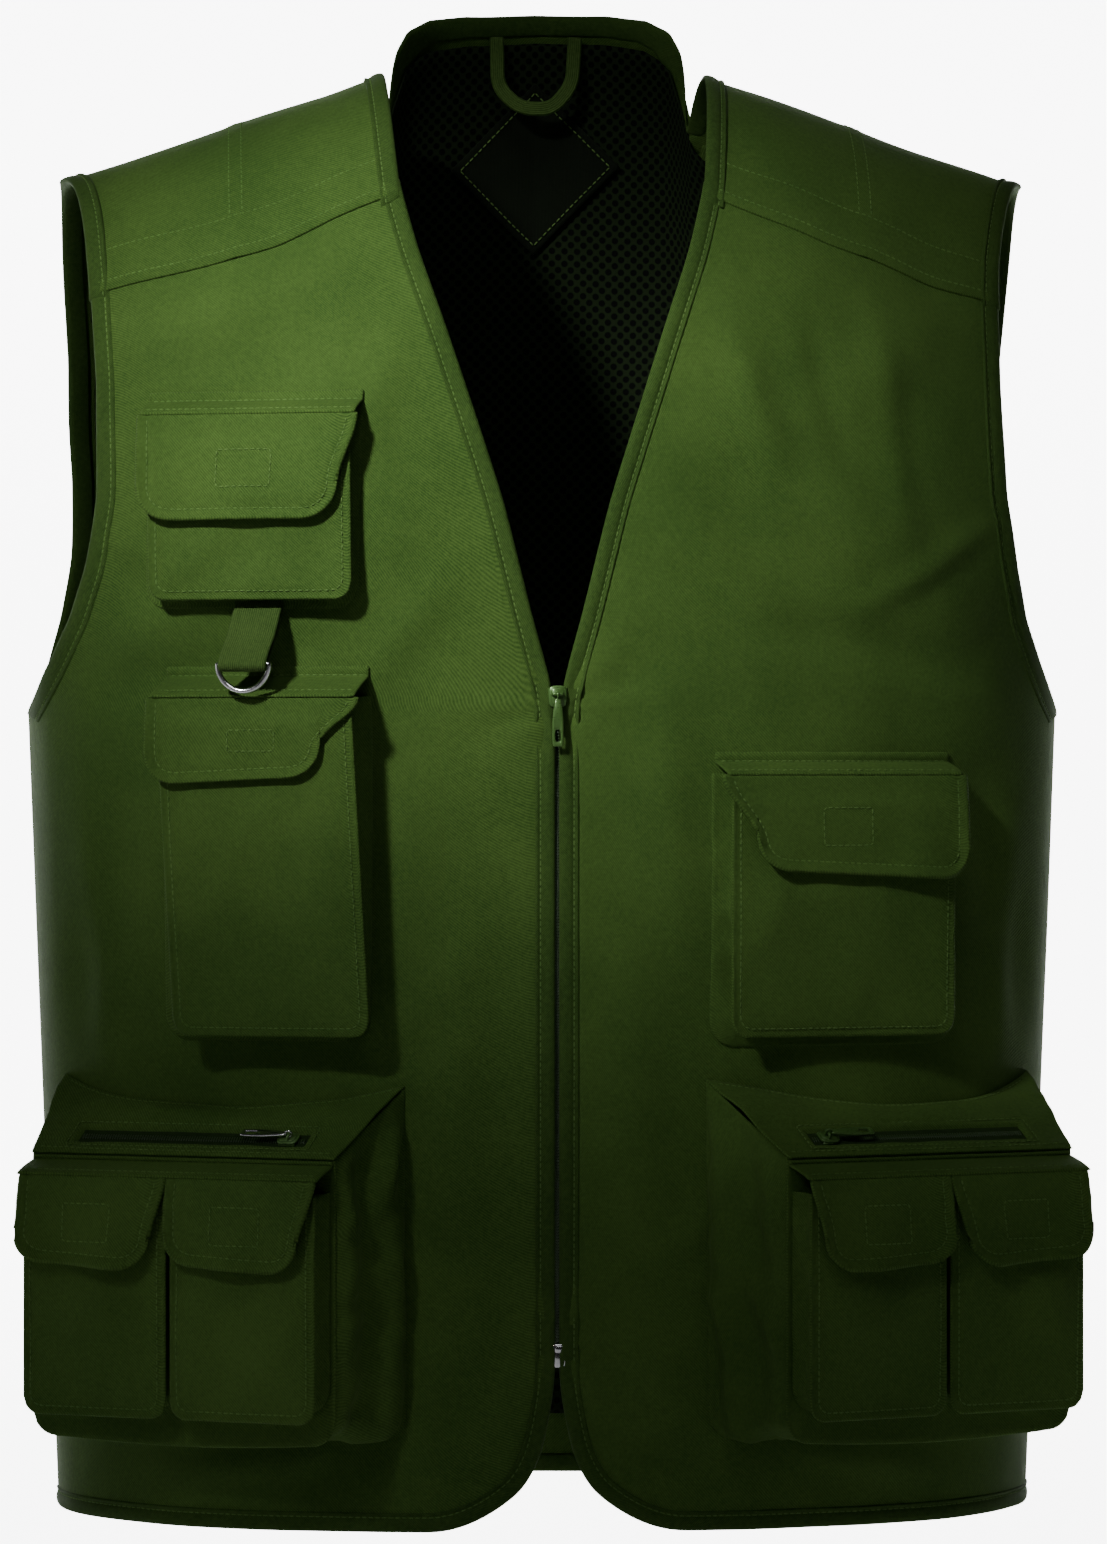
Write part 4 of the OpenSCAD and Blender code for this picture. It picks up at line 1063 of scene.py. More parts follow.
def flap(name, place_at, w, h, d, body, replaces, cut_in, cut_out, face, stand=5.0, corner=11.0, sway=0.0,
         fastener=(25, 18), seed=0.0, drop=0.0, crumple=1.0, thick=2.0):
    """A double flap that hangs from its hinge, with a stitched edge and a fastener pad behind it."""
    half = w / 2
    def left(z):
        v = np.clip(-z / (h - corner), 0, 1)
        return -half + cut_in * v ** 2 * (3 - 2 * v) + sway * v
    def right(z):
        v = np.clip(-z / (h - corner), 0, 1)
        return half - cut_out * v ** 2 * (3 - 2 * v) + sway * v
    def bottom(x):
        wide0, wide1 = left(-h + corner), right(-h + corner)
        return -h + drop * (x / half) + corner_rise(np.minimum(x - wide0, wide1 - x), corner)
    def surface(x, z):
        v = np.clip(-z / h, 0, 1)
        edge = np.minimum.reduce([x - left(z), right(z) - x, z - bottom(x)])
        out = stand * v ** 1.5 * (0.75 + 0.35 * np.cos(x / half * math.pi * 1.6 + seed))
        dent = 0.42 * np.exp(-((edge - 4.4) / 1.0) ** 2)
        soft = 2.0 * wander(x, z, 30, seed + 1) + 0.5 * wander(x, z, 12, seed + 4)
        soft = soft * np.clip(v * 1.6, 0, crumple)
        curl = 1.6 * np.clip(1 - edge / 7, 0, 1) ** 2 * v
        hung = -d - 1.2 - thick / 2 - out - soft
        clear = face(x, z) - 1.0 - thick / 2 - 1.6 * np.clip((v - 0.18) / 0.12, 0, 1)
        follow = np.clip(v / 0.25, 0, 1)
        over = np.log1p(np.exp((hung - clear) / 0.8)) * 0.8 * follow
        return hung - over - curl + dent
    u = np.concatenate([[0, 0.008], crowd(0.02, 0.98, 60, 0.45), [0.992, 1]])
    v = np.concatenate([[0, 0.015, 0.03], np.linspace(0.05, 1, 34)])
    rows = []
    for r in v:
        middle = (-h + corner) * (1 - r)
        x = left(middle) + (right(middle) - left(middle)) * u
        z = bottom(np.clip(x, left(-h + corner), right(-h + corner))) * (1 - r)
        rows.append(np.stack([x, surface(x, z), z], -1))
    grid = np.array(rows)
    obj = cloth_grid(place_at, grid, name, TWILL, t=thick, rim=0.6)
    place_piece(obj, body, Patch(grid), replaces=replaces)
    inset, r = 4.4, corner - 4.4
    xs = np.linspace(float(left(-h + corner)) + inset, float(right(-h + corner)) - inset, 70)
    zs = -h + drop * xs / half + inset + corner_rise(np.minimum(xs - xs[0], xs[-1] - xs), r)
    z0, z1 = np.linspace(-1.5, zs[0], 30), np.linspace(zs[-1], -1.5, 30)
    line = [np.stack([left(z0) + inset, z0], -1), np.stack([xs, zs], -1),
            np.stack([right(z1) - inset, z1], -1)]
    stitch_on(place_at, body, surface, np.concatenate(line), thick)
    fw, fh = fastener
    zc = -h * 0.5 - 1
    box = [(-1, -1), (1, -1), (1, 1), (-1, 1), (-1, -1)]
    box = [(i * fw / 2 + sway / 2, zc + j * fh / 2) for i, j in box]
    stitch_on(place_at, body, surface, box, thick, step=1.0)
    xs = np.linspace(-fw / 2, fw / 2, 8) + sway / 2
    x, z = np.meshgrid(xs, np.linspace(zc - fh / 2, zc + fh / 2, 7))
    pad = np.stack([x, surface(x, z) + 0.35 + thick / 2, z], -1)
    cloth_pad = cloth_grid(place_at, pad, f"{name}_hooks", PILE, t=0.8)
    place_piece(cloth_pad, body, Patch(pad), "touch_fastener", flat=(fw * MM, fh * MM))


# ---- Zip sliders and pulls -----------------------------------------------------------------

def loop_points(half_x, half_y, power=0.4, count=44, centre=0.0, waist=None):
    """A rounded outline. waist(x) scales its half width along x."""
    a = np.linspace(0, 2 * math.pi, count, endpoint=False)
    x = centre + half_x * signed_power(np.cos(a), power)
    y = half_y * signed_power(np.sin(a), power)
    return np.stack([x, y * (waist(x) if waist else 1.0)], -1)


def rings(levels, closed=False):
    """Joins outlines of equal length, each an (N, 2) outline at a height, into a solid."""
    count = len(levels[0][0])
    verts = np.concatenate([np.column_stack([p, np.full(count, h)]) for p, h in levels])
    return verts, ring_faces(count, len(levels), closed)


def plate(half_x, half_y, t, bevel=0.35, centre=0.0, height=0.0, power=0.4):
    """A rounded plate with bevelled edges."""
    def at(e):
        return loop_points(half_x - e, half_y - e, power, centre=centre)
    return rings([(at(bevel), height - t / 2), (at(0), height - t / 2 + bevel),
                  (at(0), height + t / 2 - bevel), (at(bevel), height + t / 2)])


def tube(path, r, sides=14, closed=False):
    """A wire along a path of places."""
    path = np.asarray(path, float)
    tangent = unit(np.roll(path, -1, 0) - np.roll(path, 1, 0) if closed else np.gradient(path, axis=0))
    a = np.linspace(0, 2 * math.pi, sides, endpoint=False)[:, None]
    side = unit(np.cross(tangent[0], (0.3, 0.2, 0.9)))
    verts = []
    for p, t in zip(path, tangent):
        side = unit(side - t * np.dot(side, t))
        verts.append(p + (side * np.cos(a) + np.cross(t, side) * np.sin(a)) * r)
    return np.concatenate(verts), ring_faces(sides, len(path), closed)


def rounded_path(points, r, steps=6):
    """A path through corner places, with the corners rounded to the radius r."""
    points = [np.array(p, float) for p in points]
    out = [points[0]]
    for a, b, c in zip(points, points[1:], points[2:]):
        u, v = unit(a - b), unit(c - b)
        out += [(b + u * r) * (1 - t) ** 2 + 2 * b * t * (1 - t) + (b + v * r) * t ** 2
                for t in np.linspace(0, 1, steps)]
    return out + [points[-1]]


def metal_object(name, place_at, parts, material, body, slot_name, replaces):
    """Parts joined into one metal piece."""
    verts, faces = join(parts)
    obj = make_object(name, place_at.out(verts), faces, material)
    weld(obj)
    place(obj, body, slot_name, replaces)


def slider_parts(name, rod):
    """A zip slider on its own body: x along the zip, y along the rod of its pull, z outwards."""
    deck = -2.85
    parts = [plate(5.2, 4.3, 1.3, centre=1.0, height=deck, power=0.55),
             plate(4.2, 3.2, 0.9, centre=1.0, height=deck + 0.75, power=0.6, bevel=0.4)]
    for way in (-1, 1):
        parts.append(tube([(-3.2, way * 3.9, deck - 1.1), (5.4, way * 3.3, deck - 1.1)], 0.7))
    arch = rounded_path([(0, -2.3, deck), (0, -2.3, 0), (0, 2.3, 0), (0, 2.3, deck)], 1.0)
    parts.append(tube(arch, 0.7))
    metal_object(f"{name}_metal", rod, parts, GREEN_METAL, name, "green_metal", [name])


PULL_LENGTH = 25.0


def pull_parts(name, rod, material):
    """A pull on its own body: an eye round the rod and a slotted tab along x."""
    a = np.linspace(0, 2 * math.pi, 24, endpoint=False)
    eye = tube(np.stack([1.55 * np.cos(a) + 0.35, 0 * a, 1.55 * np.sin(a)], -1), 0.5, closed=True)

    def waist(x):
        t = np.clip((x - 3.0) / 9.0, 0, 1)
        return 0.62 + 0.38 * t * t * (3 - 2 * t)

    def outer(e):
        return loop_points((PULL_LENGTH - 2.0) / 2 - e, 2.7 - e, 0.32, 44, (PULL_LENGTH + 2.0) / 2, waist)

    def inner(e):
        return loop_points(2.9 + e, 1.25 + e, 0.5, 44, PULL_LENGTH - 5.2)
    t, b = 1.2, 0.3
    heights = ((b, -t / 2), (0, b - t / 2), (0, t / 2 - b), (b, t / 2))
    tab = rings([(outer(e), h) for e, h in heights] + [(inner(e), h) for e, h in heights[::-1]], True)
    metal_object(f"{name}_metal", rod, [eye, tab], material, name, "green_metal", [name])


# ---- The flat pockets --------------------------------------------------------------------------

def flat_pocket(name, place_at, w, h, d, body, up, band_w, flap_w, flap_h, cuts, pieces, **options):
    """A pouch with its band and flap. pieces are the CAD nodes of the pouch, band and flap."""
    face = pouch(name, place_at, w, h, d, body, [pieces[0]], **options.get("pouch", {}))
    band(f"{name}_band_cloth", place_at, band_w, h, d, up, body, [pieces[1]], seed=options.get("seed", 0))
    flap(f"{name}_flap_cloth", place_at.moved(0, 0, h), flap_w, flap_h, d, pieces[2], [pieces[2]], *cuts,
         lambda x, z: face(x, z + h), **options.get("flap", {}))
    return face


def pads(name, body, spots, replaces):
    """Loop pads on pocket faces, as one piece: (pocket frame, face, middle x, low z, width, height)."""
    parts = []
    for place_at, face, x0, z0, w, h in spots:
        x, z = np.meshgrid(np.linspace(x0 - w / 2, x0 + w / 2, 9), np.linspace(z0, z0 + h, 8))
        grid = np.stack([x, face(x, z) - 1.2, z], -1)
        patch = facing(place_at.out(grid), place_at.way((0, -1, 0)))
        verts, faces, _ = thicken(patch.points, patch.normals, grid_faces(8, 9), 0.9)
        parts.append((verts, faces))
    verts, faces = join(parts)
    obj = make_object(name, verts, faces, PILE, np.asarray(verts)[:, [0, 2]] * MM)
    place(obj, body, "touch_fastener", replaces)


CHEST_RIGHT = on_front(97, 192, 443, 540, -1)
TALL = on_front(88, 186, 237, 400, -1)
CHEST_LEFT = on_front(76, 190, 236, 366, 1)

chest_face = flat_pocket(
    "chest_right", CHEST_RIGHT, 100, 88, 17, "front_right", 8, 106, 108, 50, (8, 1),
    ("chest_pocket_right", "chest_band_right", "chest_flap_right"), seed=1.0,
    pouch=dict(bulge=2.5, lean=-3.0, seed=2.0),
    flap=dict(stand=4.0, corner=17.0, seed=0.5, fastener=(27, 18)))
tall_face = flat_pocket(
    "tall", TALL, 96, 160, 27, "front_right", 10, 100, 104, 38, (18, 0),
    ("tall_pocket", "tall_band", "tall_flap"), seed=4.0,
    pouch=dict(bulge=4.0, lean=-9.0, seed=5.0, inward=0.22),
    flap=dict(stand=2.0, crumple=0.2, thick=1.3, corner=15.0, seed=2.1, drop=-2.5, fastener=(23, 10)))
left_face = flat_pocket(
    "chest_left", CHEST_LEFT, 114, 124, 17, "front_left", 6, 120, 124, 46, (16, 0),
    ("chest_pocket_left", "chest_band_left", "chest_flap_left"), seed=7.0,
    pouch=dict(bulge=3.5, seed=8.0, out=5.0, inward=0.42),
    flap=dict(stand=5.0, corner=15.0, seed=3.0, drop=-3.0))


# ---- Cargo pockets -----------------------------------------------------------------------------

CARGO_IN, CARGO_OUT = np.array([107.0, -178.0]), np.array([250.0, -112.0])
CARGO_W = float(np.linalg.norm(CARGO_OUT - CARGO_IN))
CARGO_HALF = CARGO_W / 2
CARGO_LOW, CARGO_H = 47.0, 132.0
CARGO_TOP_Z = CARGO_LOW + CARGO_H
CARGO_CORNER, CARGO_SAG, CARGO_STEPS = 11.0, 3.5, (54, 9, 56)
CARGO_TURN = math.atan2(CARGO_OUT[1] - CARGO_IN[1], CARGO_OUT[0] - CARGO_IN[0])
SEW_IN, SEW_OUT = 72.0, 235.0                        # where the bag is sewn on, along the vest's x
INNER_RUN, TOP_COLUMNS = 150.0, 150                  # the gusset's inner side; columns of the top
TOP_SLOPE = math.radians(32)
WINDOW_HALF, WINDOW, WINDOW_STITCH = 60.0, (9.0, 21.0), 3.4
SLIDE_X, ROD_H = 51.0, 4.2
SMALL_W, SMALL_H, SMALL_GAP, SMALL_D, SMALL_LIFT, SMALL_DROP = 74.0, 106.0, 3.0, 15.0, 17.0, 7.0


def bag_sag(x, z):
    """How far the bag's bottom edge hangs down, most in its middle."""
    return CARGO_SAG * np.cos(x / CARGO_HALF * math.pi / 2) * np.clip(1 - z / 40, 0, 1)


class Cargo:
    """One cargo pocket: its frames and its pieces. slope is the frame of the zipped top."""

    def __init__(self, side_name, side):
        middle = (CARGO_IN + CARGO_OUT) / 2
        self.name, self.side = side_name, side
        self.body = f"front_{side_name}"
        self.seed = 20.0 + 3 * side
        self.bag = Place((middle[0], middle[1], CARGO_LOW), CARGO_TURN, 0, side)
        self.slope = self.bag.moved(0, 0, CARGO_H + 0.4).tipped(TOP_SLOPE)
        self.up = self.slope.way((0, 0, 1))

    def face_y(self, x, z):
        edge = np.minimum.reduce([CARGO_HALF - np.abs(x), z + 2])
        return 0.4 * (wander(x, z, 40, self.seed) * np.clip(edge / 12, 0, 1)) + 0.9

    def build_face(self):
        inner = crowd(-CARGO_HALF + 2, CARGO_HALF - 2, 70, 0.2)
        xs = np.concatenate([[-CARGO_HALF], inner, [CARGO_HALF]])
        x, z = np.meshgrid(xs, np.linspace(-1, CARGO_H + 0.6, 60))
        z = z + corner_rise(CARGO_HALF - np.abs(x), CARGO_CORNER) * np.clip(1 - z / 60, 0, 1)
        grid = np.stack([x, self.face_y(x, z), z - bag_sag(x, z)], -1)
        obj = cloth_grid(self.bag, grid, f"cargo_face_{self.name}", TWILL, t=1.5)
        place_piece(obj, self.body, Patch(grid), replaces=[f"cargo_pocket_{self.name}"])

    def sewn_line(self):
        """Where the top meets the front's cloth, in the top's frame, and its heights on the vest."""
        vest_x = np.linspace(SEW_IN, SEW_OUT, TOP_COLUMNS)
        heights = np.full(TOP_COLUMNS, CARGO_TOP_Z + 22.0)
        for _ in range(8):
            line = self.slope.local(front(vest_x * self.side, heights, 1.2))
            heights = heights - line[:, 2] / math.cos(TOP_SLOPE)
        return self.slope.local(front(vest_x * self.side, heights, 1.2)), heights

    def build_gusset(self, heights):
        rim2, way2 = u_path(-CARGO_HALF + 0.9, CARGO_HALF - 0.9, CARGO_H + 0.6, 1.0, CARGO_CORNER,
                            CARGO_STEPS)
        rim2[:, 1] -= bag_sag(rim2[:, 0], rim2[:, 1])
        rim = np.stack([rim2[:, 0], np.full(len(rim2), 1.6), rim2[:, 1]], -1)
        base2, _ = u_path(SEW_IN, SEW_OUT, CARGO_TOP_Z, CARGO_LOW - 4, 13.0, CARGO_STEPS)
        end_z = np.where(base2[:, 0] < (SEW_IN + SEW_OUT) / 2, heights[0], heights[-1])
        rise = np.clip((base2[:, 1] - CARGO_LOW - 9) / (CARGO_TOP_Z - CARGO_LOW - 9), 0, 1)
        base2[:, 1] += (end_z - CARGO_TOP_Z) * rise
        base = self.bag.local(front(base2[:, 0] * self.side, base2[:, 1], 1.6))
        rim_out = np.stack([way2[:, 0], np.zeros(len(way2)), way2[:, 1]], -1)

        def shape(s, k):
            inner = np.clip(1 - s / INNER_RUN, 0, 1) ** 0.5
            low = np.exp(-((s - INNER_RUN) / 45) ** 2)
            pleat = 3.2 * np.sin(2 * math.pi * k * 1.5 + 0.5) * (0.5 + inner)
            hang = 5.5 * inner * np.sin(math.pi * k) * (0.25 + 0.9 * np.sin(s / INNER_RUN * math.pi))
            crumple = 3.4 * ridged(s * 0.8 + k * 26, k * 40 - s * 0.25, 33, self.seed + 2)
            fine = 1.5 * ridged(s - k * 18, k * 34 + s * 0.3, 15, self.seed + 4)
            return pleat * 0.8 - 2.5 * low + hang * 0.4 + crumple * (0.55 + 0.8 * inner) + fine
        gusset(self.bag, f"cargo_gusset_{self.name}", self.body, rim, rim_out, base, shape, close=22.0)

    def build_top(self, far):
        """The sloping top, from the face's edge to the line far, with its recessed zip window."""
        v = np.concatenate([[0, 0.02], np.linspace(0.05, 1, 44)])
        ux = np.linspace(-1, 1, TOP_COLUMNS)
        near = np.stack([ux * CARGO_HALF, 0 * ux, 0 * ux], -1)
        grid = near[None] * (1 - v[:, None, None]) + far[None] * v[:, None, None]
        gx, gy = grid[..., 0], grid[..., 1]
        gap = np.maximum(np.abs(gx) - WINDOW_HALF, np.maximum(WINDOW[0] - gy, gy - WINDOW[1]))
        edge = np.clip(np.minimum(v[:, None] * 40, (1 - v[:, None]) * 40) * np.ones_like(gx) / 8, 0, 1)
        calm = 1 - np.clip((np.abs(gx) - 48) / 8, 0, 1) * np.clip(1.6 - np.abs(gy - 15) / 10, 0, 1)
        puff = 1.8 * edge * np.clip(gap / 6, 0, 1)
        soft = 1.6 * wander(gx, gy, 26, self.seed + 6) + 0.9 * ridged(gx, gy * 1.5, 30, self.seed + 8)
        soft = soft * edge * np.clip(gap / 8 + 0.15, 0, 1)
        recess = 2.6 * np.clip((0.9 - gap) / 1.6, 0, 1)
        dent = 0.45 * np.exp(-((gap - WINDOW_STITCH) / 0.9) ** 2)
        grid[..., 2] += 1.0 + puff * calm * 0.6 + soft * calm - recess - dent
        patch = facing(self.slope.out(grid), self.up)
        obj = patch.build(f"cargo_top_cloth_{self.name}", TWILL, t=1.3)
        place_piece(obj, self.body, patch, replaces=[f"cargo_top_{self.name}"])
        stitch_across(self.body, patch, (0.05, 0.95), 120, 0.8)
        x, y = WINDOW_HALF + WINDOW_STITCH, (WINDOW[0] - WINDOW_STITCH, WINDOW[1] + WINDOW_STITCH)
        box = resample([(-x, y[0]), (x, y[0]), (x, y[1]), (-x, y[1]), (-x, y[0])], 1.5)
        stitch(self.body, self.on_top(box[:, 0], box[:, 1], 1.75), np.broadcast_to(self.up, (len(box), 3)))

    def on_top(self, x, y, height):
        return self.slope.out(np.stack([x, y, np.full(np.shape(x), height)], -1))

    def build_zip(self):
        """Zip tape and coil in the window, and the slider with its pull."""
        x, y = np.meshgrid(np.linspace(-WINDOW_HALF - 0.5, WINDOW_HALF + 0.5, 40),
                           np.linspace(WINDOW[0] - 0.5, WINDOW[1] + 0.5, 9))
        cloth = self.slope.out(np.stack([x, y, -0.55 + 0.25 * wander(x, y, 20, self.seed)], -1))
        obj = Patch(turned(cloth, self.side)).build(f"cargo_tape_{self.name}", TAPE, t=0.7)
        place(obj, self.body, "zip_tape", [f"cargo_zip_{self.name}"])
        middle = (WINDOW[0] + WINDOW[1]) / 2
        tooth_x = np.arange(-WINDOW_HALF + 2, WINDOW_HALF - 1, 1.3)
        a = self.on_top(tooth_x, np.full_like(tooth_x, middle - 2.0), 0.1)
        b = self.on_top(tooth_x + 0.5, np.full_like(tooth_x, middle + 2.0), 0.1)
        teeth = capsules(a, b, np.broadcast_to(self.up, a.shape), 0.42, 0.0, 6)
        coil = make_object(f"cargo_coil_{self.name}", *teeth, COIL)
        place(coil, self.body, "zip_tape")
        rod = self.slope.moved(-SLIDE_X, middle, ROD_H)
        slider_parts(f"cargo_slider_{self.name}", rod)
        pull_parts(f"cargo_pull_{self.name}", rod, CHROME if self.side < 0 else GREEN_METAL)

    def build_small_pockets(self):
        """The two small pockets and the band over them. Returns where their loop pads go."""
        def sewn(x, z):
            return np.stack([x, np.full_like(x, 1.2), z], -1)
        spots = []
        for spot, label in ((-1, "inner"), (1, "outer")):
            small = self.bag.moved(spot * (SMALL_W + SMALL_GAP) / 2, -0.6, SMALL_LIFT)
            key = f"{self.name}_{label}"
            face = pouch(f"small_{key}", small, SMALL_W, SMALL_H - SMALL_DROP, SMALL_D, self.body,
                         [f"small_pocket_{key}"], bulge=3.2, out=0.6, seed=30.0 + 5 * spot + self.side,
                         inward=0.2, attach=sewn, drop=SMALL_DROP)
            flap(f"small_{key}_flap_cloth", small.moved(0, 0, SMALL_H), SMALL_W + 1.4, 41, SMALL_D,
                 f"small_flap_{key}", [f"small_flap_{key}"], 3, 3,
                 lambda x, z, face=face: face(x, z + SMALL_H), stand=8.5, corner=15.0, sway=3.5,
                 seed=1.0 + spot + self.side * 0.5, drop=2.0)
            spots.append((small, face, 0, SMALL_H - 32, 25, 18))

        def on_face(x, z):
            y = self.face_y(x, z + SMALL_LIFT) - 0.5
            return np.stack([x, y, np.minimum(z, CARGO_H - SMALL_LIFT - 0.5)], -1)
        band(f"small_band_{self.name}", self.bag.moved(0, -0.6, SMALL_LIFT), CARGO_W - 2, SMALL_H, SMALL_D,
             6.0, self.body, [], attach=on_face, over=3.0, seed=self.seed)
        return spots

    def build(self):
        """Makes every piece. Returns where the small pockets' loop pads go."""
        self.build_face()
        far, heights = self.sewn_line()
        self.build_gusset(heights)
        self.build_top(far)
        self.build_zip()
        return self.build_small_pockets()


# ---- Main zip ----------------------------------------------------------------------------------

ZIP_Y = -FRONT_DEPTH - 0.8
SLIDER_Z = ZIP_TOP - 9


def main_zip():
    """Both tapes with their coils, the slider, the pull, the box and the pin."""
    for side_name, side in SIDES.items():
        x, z = np.meshgrid(np.linspace(1.4, 15, 8), np.linspace(ZIP_BOX - 5, ZIP_TOP - 8, 120))
        grid = np.stack([x * side, np.full_like(x, ZIP_Y + 3.4) + 0.15 * wander(x, z, 30, 2.0), z], -1)
        patch = Patch(turned(grid, side))
        obj = patch.build(f"zip_tape_{side_name}", TAPE, t=0.8)
        place(obj, f"front_{side_name}", "zip_tape", [f"main_zip_tape_{side_name}"])
        heights = np.arange(ZIP_BOX + 12, ZIP_TOP - 9, 1.45) + (0.72 if side > 0 else 0)
        a = np.stack([np.full_like(heights, 3.3 * side), np.full_like(heights, ZIP_Y + 1.9), heights], -1)
        b = a + np.array([-3.9 * side, -0.3, 0.25])
        teeth = capsules(a, b, np.broadcast_to((0.0, -1.0, 0.0), a.shape), 0.5, 0.0, 6)
        core = tube([(2.9 * side, ZIP_Y + 2.2, ZIP_BOX + 11), (2.9 * side, ZIP_Y + 2.2, ZIP_TOP - 8)], 0.6)
        coil = make_object(f"zip_coil_{side_name}", *join([teeth, core]), COIL)
        place(coil, f"front_{side_name}", "zip_tape", [f"main_zip_coil_{side_name}"])
    down = Place((0, ZIP_Y - 5.9, SLIDER_Z + 6), 0, 0, 1)
    down.turn = np.array([[0, 1, 0], [0, 0, -1], [-1, 0, 0]], float)
    slider_parts("main_slider", down)
    pull_parts("main_pull", down, GREEN_METAL)
    box = Place((0.9, ZIP_Y + 1.2, ZIP_BOX + 5.6), 0, 0, 1)
    box.turn = down.turn
    metal_object("zip_box_metal", box, [plate(5.6, 3.2, 3.0, 0.5, power=0.3),
                                        plate(1.6, 2.2, 0.6, 0.2, centre=-3.0, height=1.6)],
                 CHROME, "front_left", "bright_metal", ["zip_box"])
    pin = Place((-2.7, ZIP_Y + 2.4, ZIP_BOX + 10.4), 0, 0, 1)
    pin.turn = down.turn
    metal_object("zip_pin_metal", pin, [plate(4.6, 0.95, 1.8, 0.3, power=0.5)], CHROME, "front_right",
                 "bright_metal", ["zip_pin"])


# ---- Things inside the back, and the ring's tab --------------------------------------------------

def hanging_loop():
    """A flat strap that hangs inside the back of the neck."""
    corners = rounded_path([(-20.0, 66.8, 737), (-19.5, 66.4, 712), (-8.5, 65.0, 701), (8.0, 65.0, 700.5),
                            (18.5, 66.4, 713), (20.0, 66.8, 737)], 6.5, 12)
    line = resample(corners, 1.5)
    tangent = unit(np.gradient(line, axis=0))
    face = unit(np.cross(tangent, (0, -1, 0)))
    grid = np.stack([line + face * a for a in (-3.1, -2.6, -1.2, 0, 1.2, 2.6, 3.1)], 1)
    if grid_normals(grid)[len(line) // 2, 3, 1] > 0:
        grid = grid[:, ::-1]
    patch = Patch(grid, np.broadcast_to((0.0, -1.0, 0.0), grid.shape))
    obj = patch.build("hanging_loop_strap", WEBBING, t=1.5)
    length = float(run_along(line)[-1]) * MM
    place_piece(obj, "back", patch, "webbing", ["hanging_loop"], flat=(0.01, length))


def lining_patch():
    """A diamond of cloth, stitched on the lining."""
    s = np.linspace(-1, 1, 34)
    u, v = np.meshgrid(s, s)
    x, z = (u - v) / 2 * 44, 676 + (u + v) / 2 * 44
    soft = 0.7 * wander(x, z, 26, 4.0)
    p = back(x, z, -6.6 - soft)
    patch = Patch(p[:, ::-1])
    obj = patch.build("patch_cloth", PATCH, t=0.9)
    place_piece(obj, "back", patch, "patch", ["lining_patch"])
    t = np.linspace(0.05, 0.95, 30)
    low, high = np.full(30, 0.05), np.full(30, 0.95)
    for u, v in ((t, low), (high, t), (t, high), (low, t)):
        places, normals = patch.sample(u, v)
        stitch("back", places - normals * 0.9, -normals, 0.0)


def ring_tab():
    """Webbing that is folded round the D-ring's bar and sewn to the front."""
    bar = TALL.moved(2, -36, 176)
    c, s = math.cos(math.radians(50)), math.sin(math.radians(50))
    def cloth(x, z):
        return behind(bar, x, z, 1.6)[..., 1]
    seam, end = float(cloth(0, 31)), float(cloth(0, 46))
    path = [(end - 1.5, 46), (seam - 1.5, 31)]
    path += [(y * c + z * s, z * c - y * s) for y, z in ((-2.3, 18), (-2.9, 6))]
    path += [(2.75 * math.cos(a), 2.75 * math.sin(a)) for a in np.radians(np.linspace(170, 375, 20))]
    path += [(y * c + z * s, z * c - y * s) for y, z in ((1.6, 8), (0.6, 20))] + [(seam, 31), (end, 46)]
    path = resample(np.array(path), 1.0)
    above = np.where(np.arange(len(path)) < len(path) / 2, 1.5, 0.0)[:, None]
    x, _ = np.meshgrid(np.linspace(-11.5, 11.5, 13), path[:, 0])
    z = np.broadcast_to(path[:, 1:], x.shape)
    grid = np.stack([x, np.minimum(path[:, :1], cloth(x, z) - above), z], -1)[::-1]
    patch = facing(bar.out(grid), bar.way((0, -1, 0.6)), slice(-20, None))
    obj = patch.build("ring_tab_webbing", WEBBING, t=1.2)
    place_piece(obj, "front_right", patch, "webbing", ["ring_tab"])


def side_seams():
    """A rolled seam along each side, on the line that the fronts turn about."""
    for side_name, side in SIDES.items():
        z = np.linspace(1, UNDERARM_Z - 1, 120)
        line = np.stack([side * (half_w(z) - 0.6), 0.15 * np.sin(z), z], -1)
        verts, faces = tube(line, 1.3, 10)
        obj = make_object(f"side_seam_{side_name}", verts, faces, TWILL, verts[:, [1, 2]] * MM)
        place(obj, "back", "twill")


loop_pads = {name: Cargo(name, sign).build() for name, sign in SIDES.items()}
pads("loop_pads_right", "front_right",
     [(CHEST_RIGHT, chest_face, 0, 48, 27, 18), (TALL, tall_face, 0, 128, 23, 14)] + loop_pads["right"],
     ["hook_loop_pads_right"])
pads("loop_pads_left", "front_left", [(CHEST_LEFT, left_face, 0, 86, 25, 18)] + loop_pads["left"],
     ["hook_loop_pads_left"])
main_zip()
hanging_loop()
lining_patch()
ring_tab()
side_seams()

# ---- Camera, light and stage -----------------------------------------------------------------

CAMERA_DISTANCE = 3.0
CAMERA_TURN = math.radians(3.0)
VIEW_HEIGHT = 0.772                                  # what the picture spans at the side seams


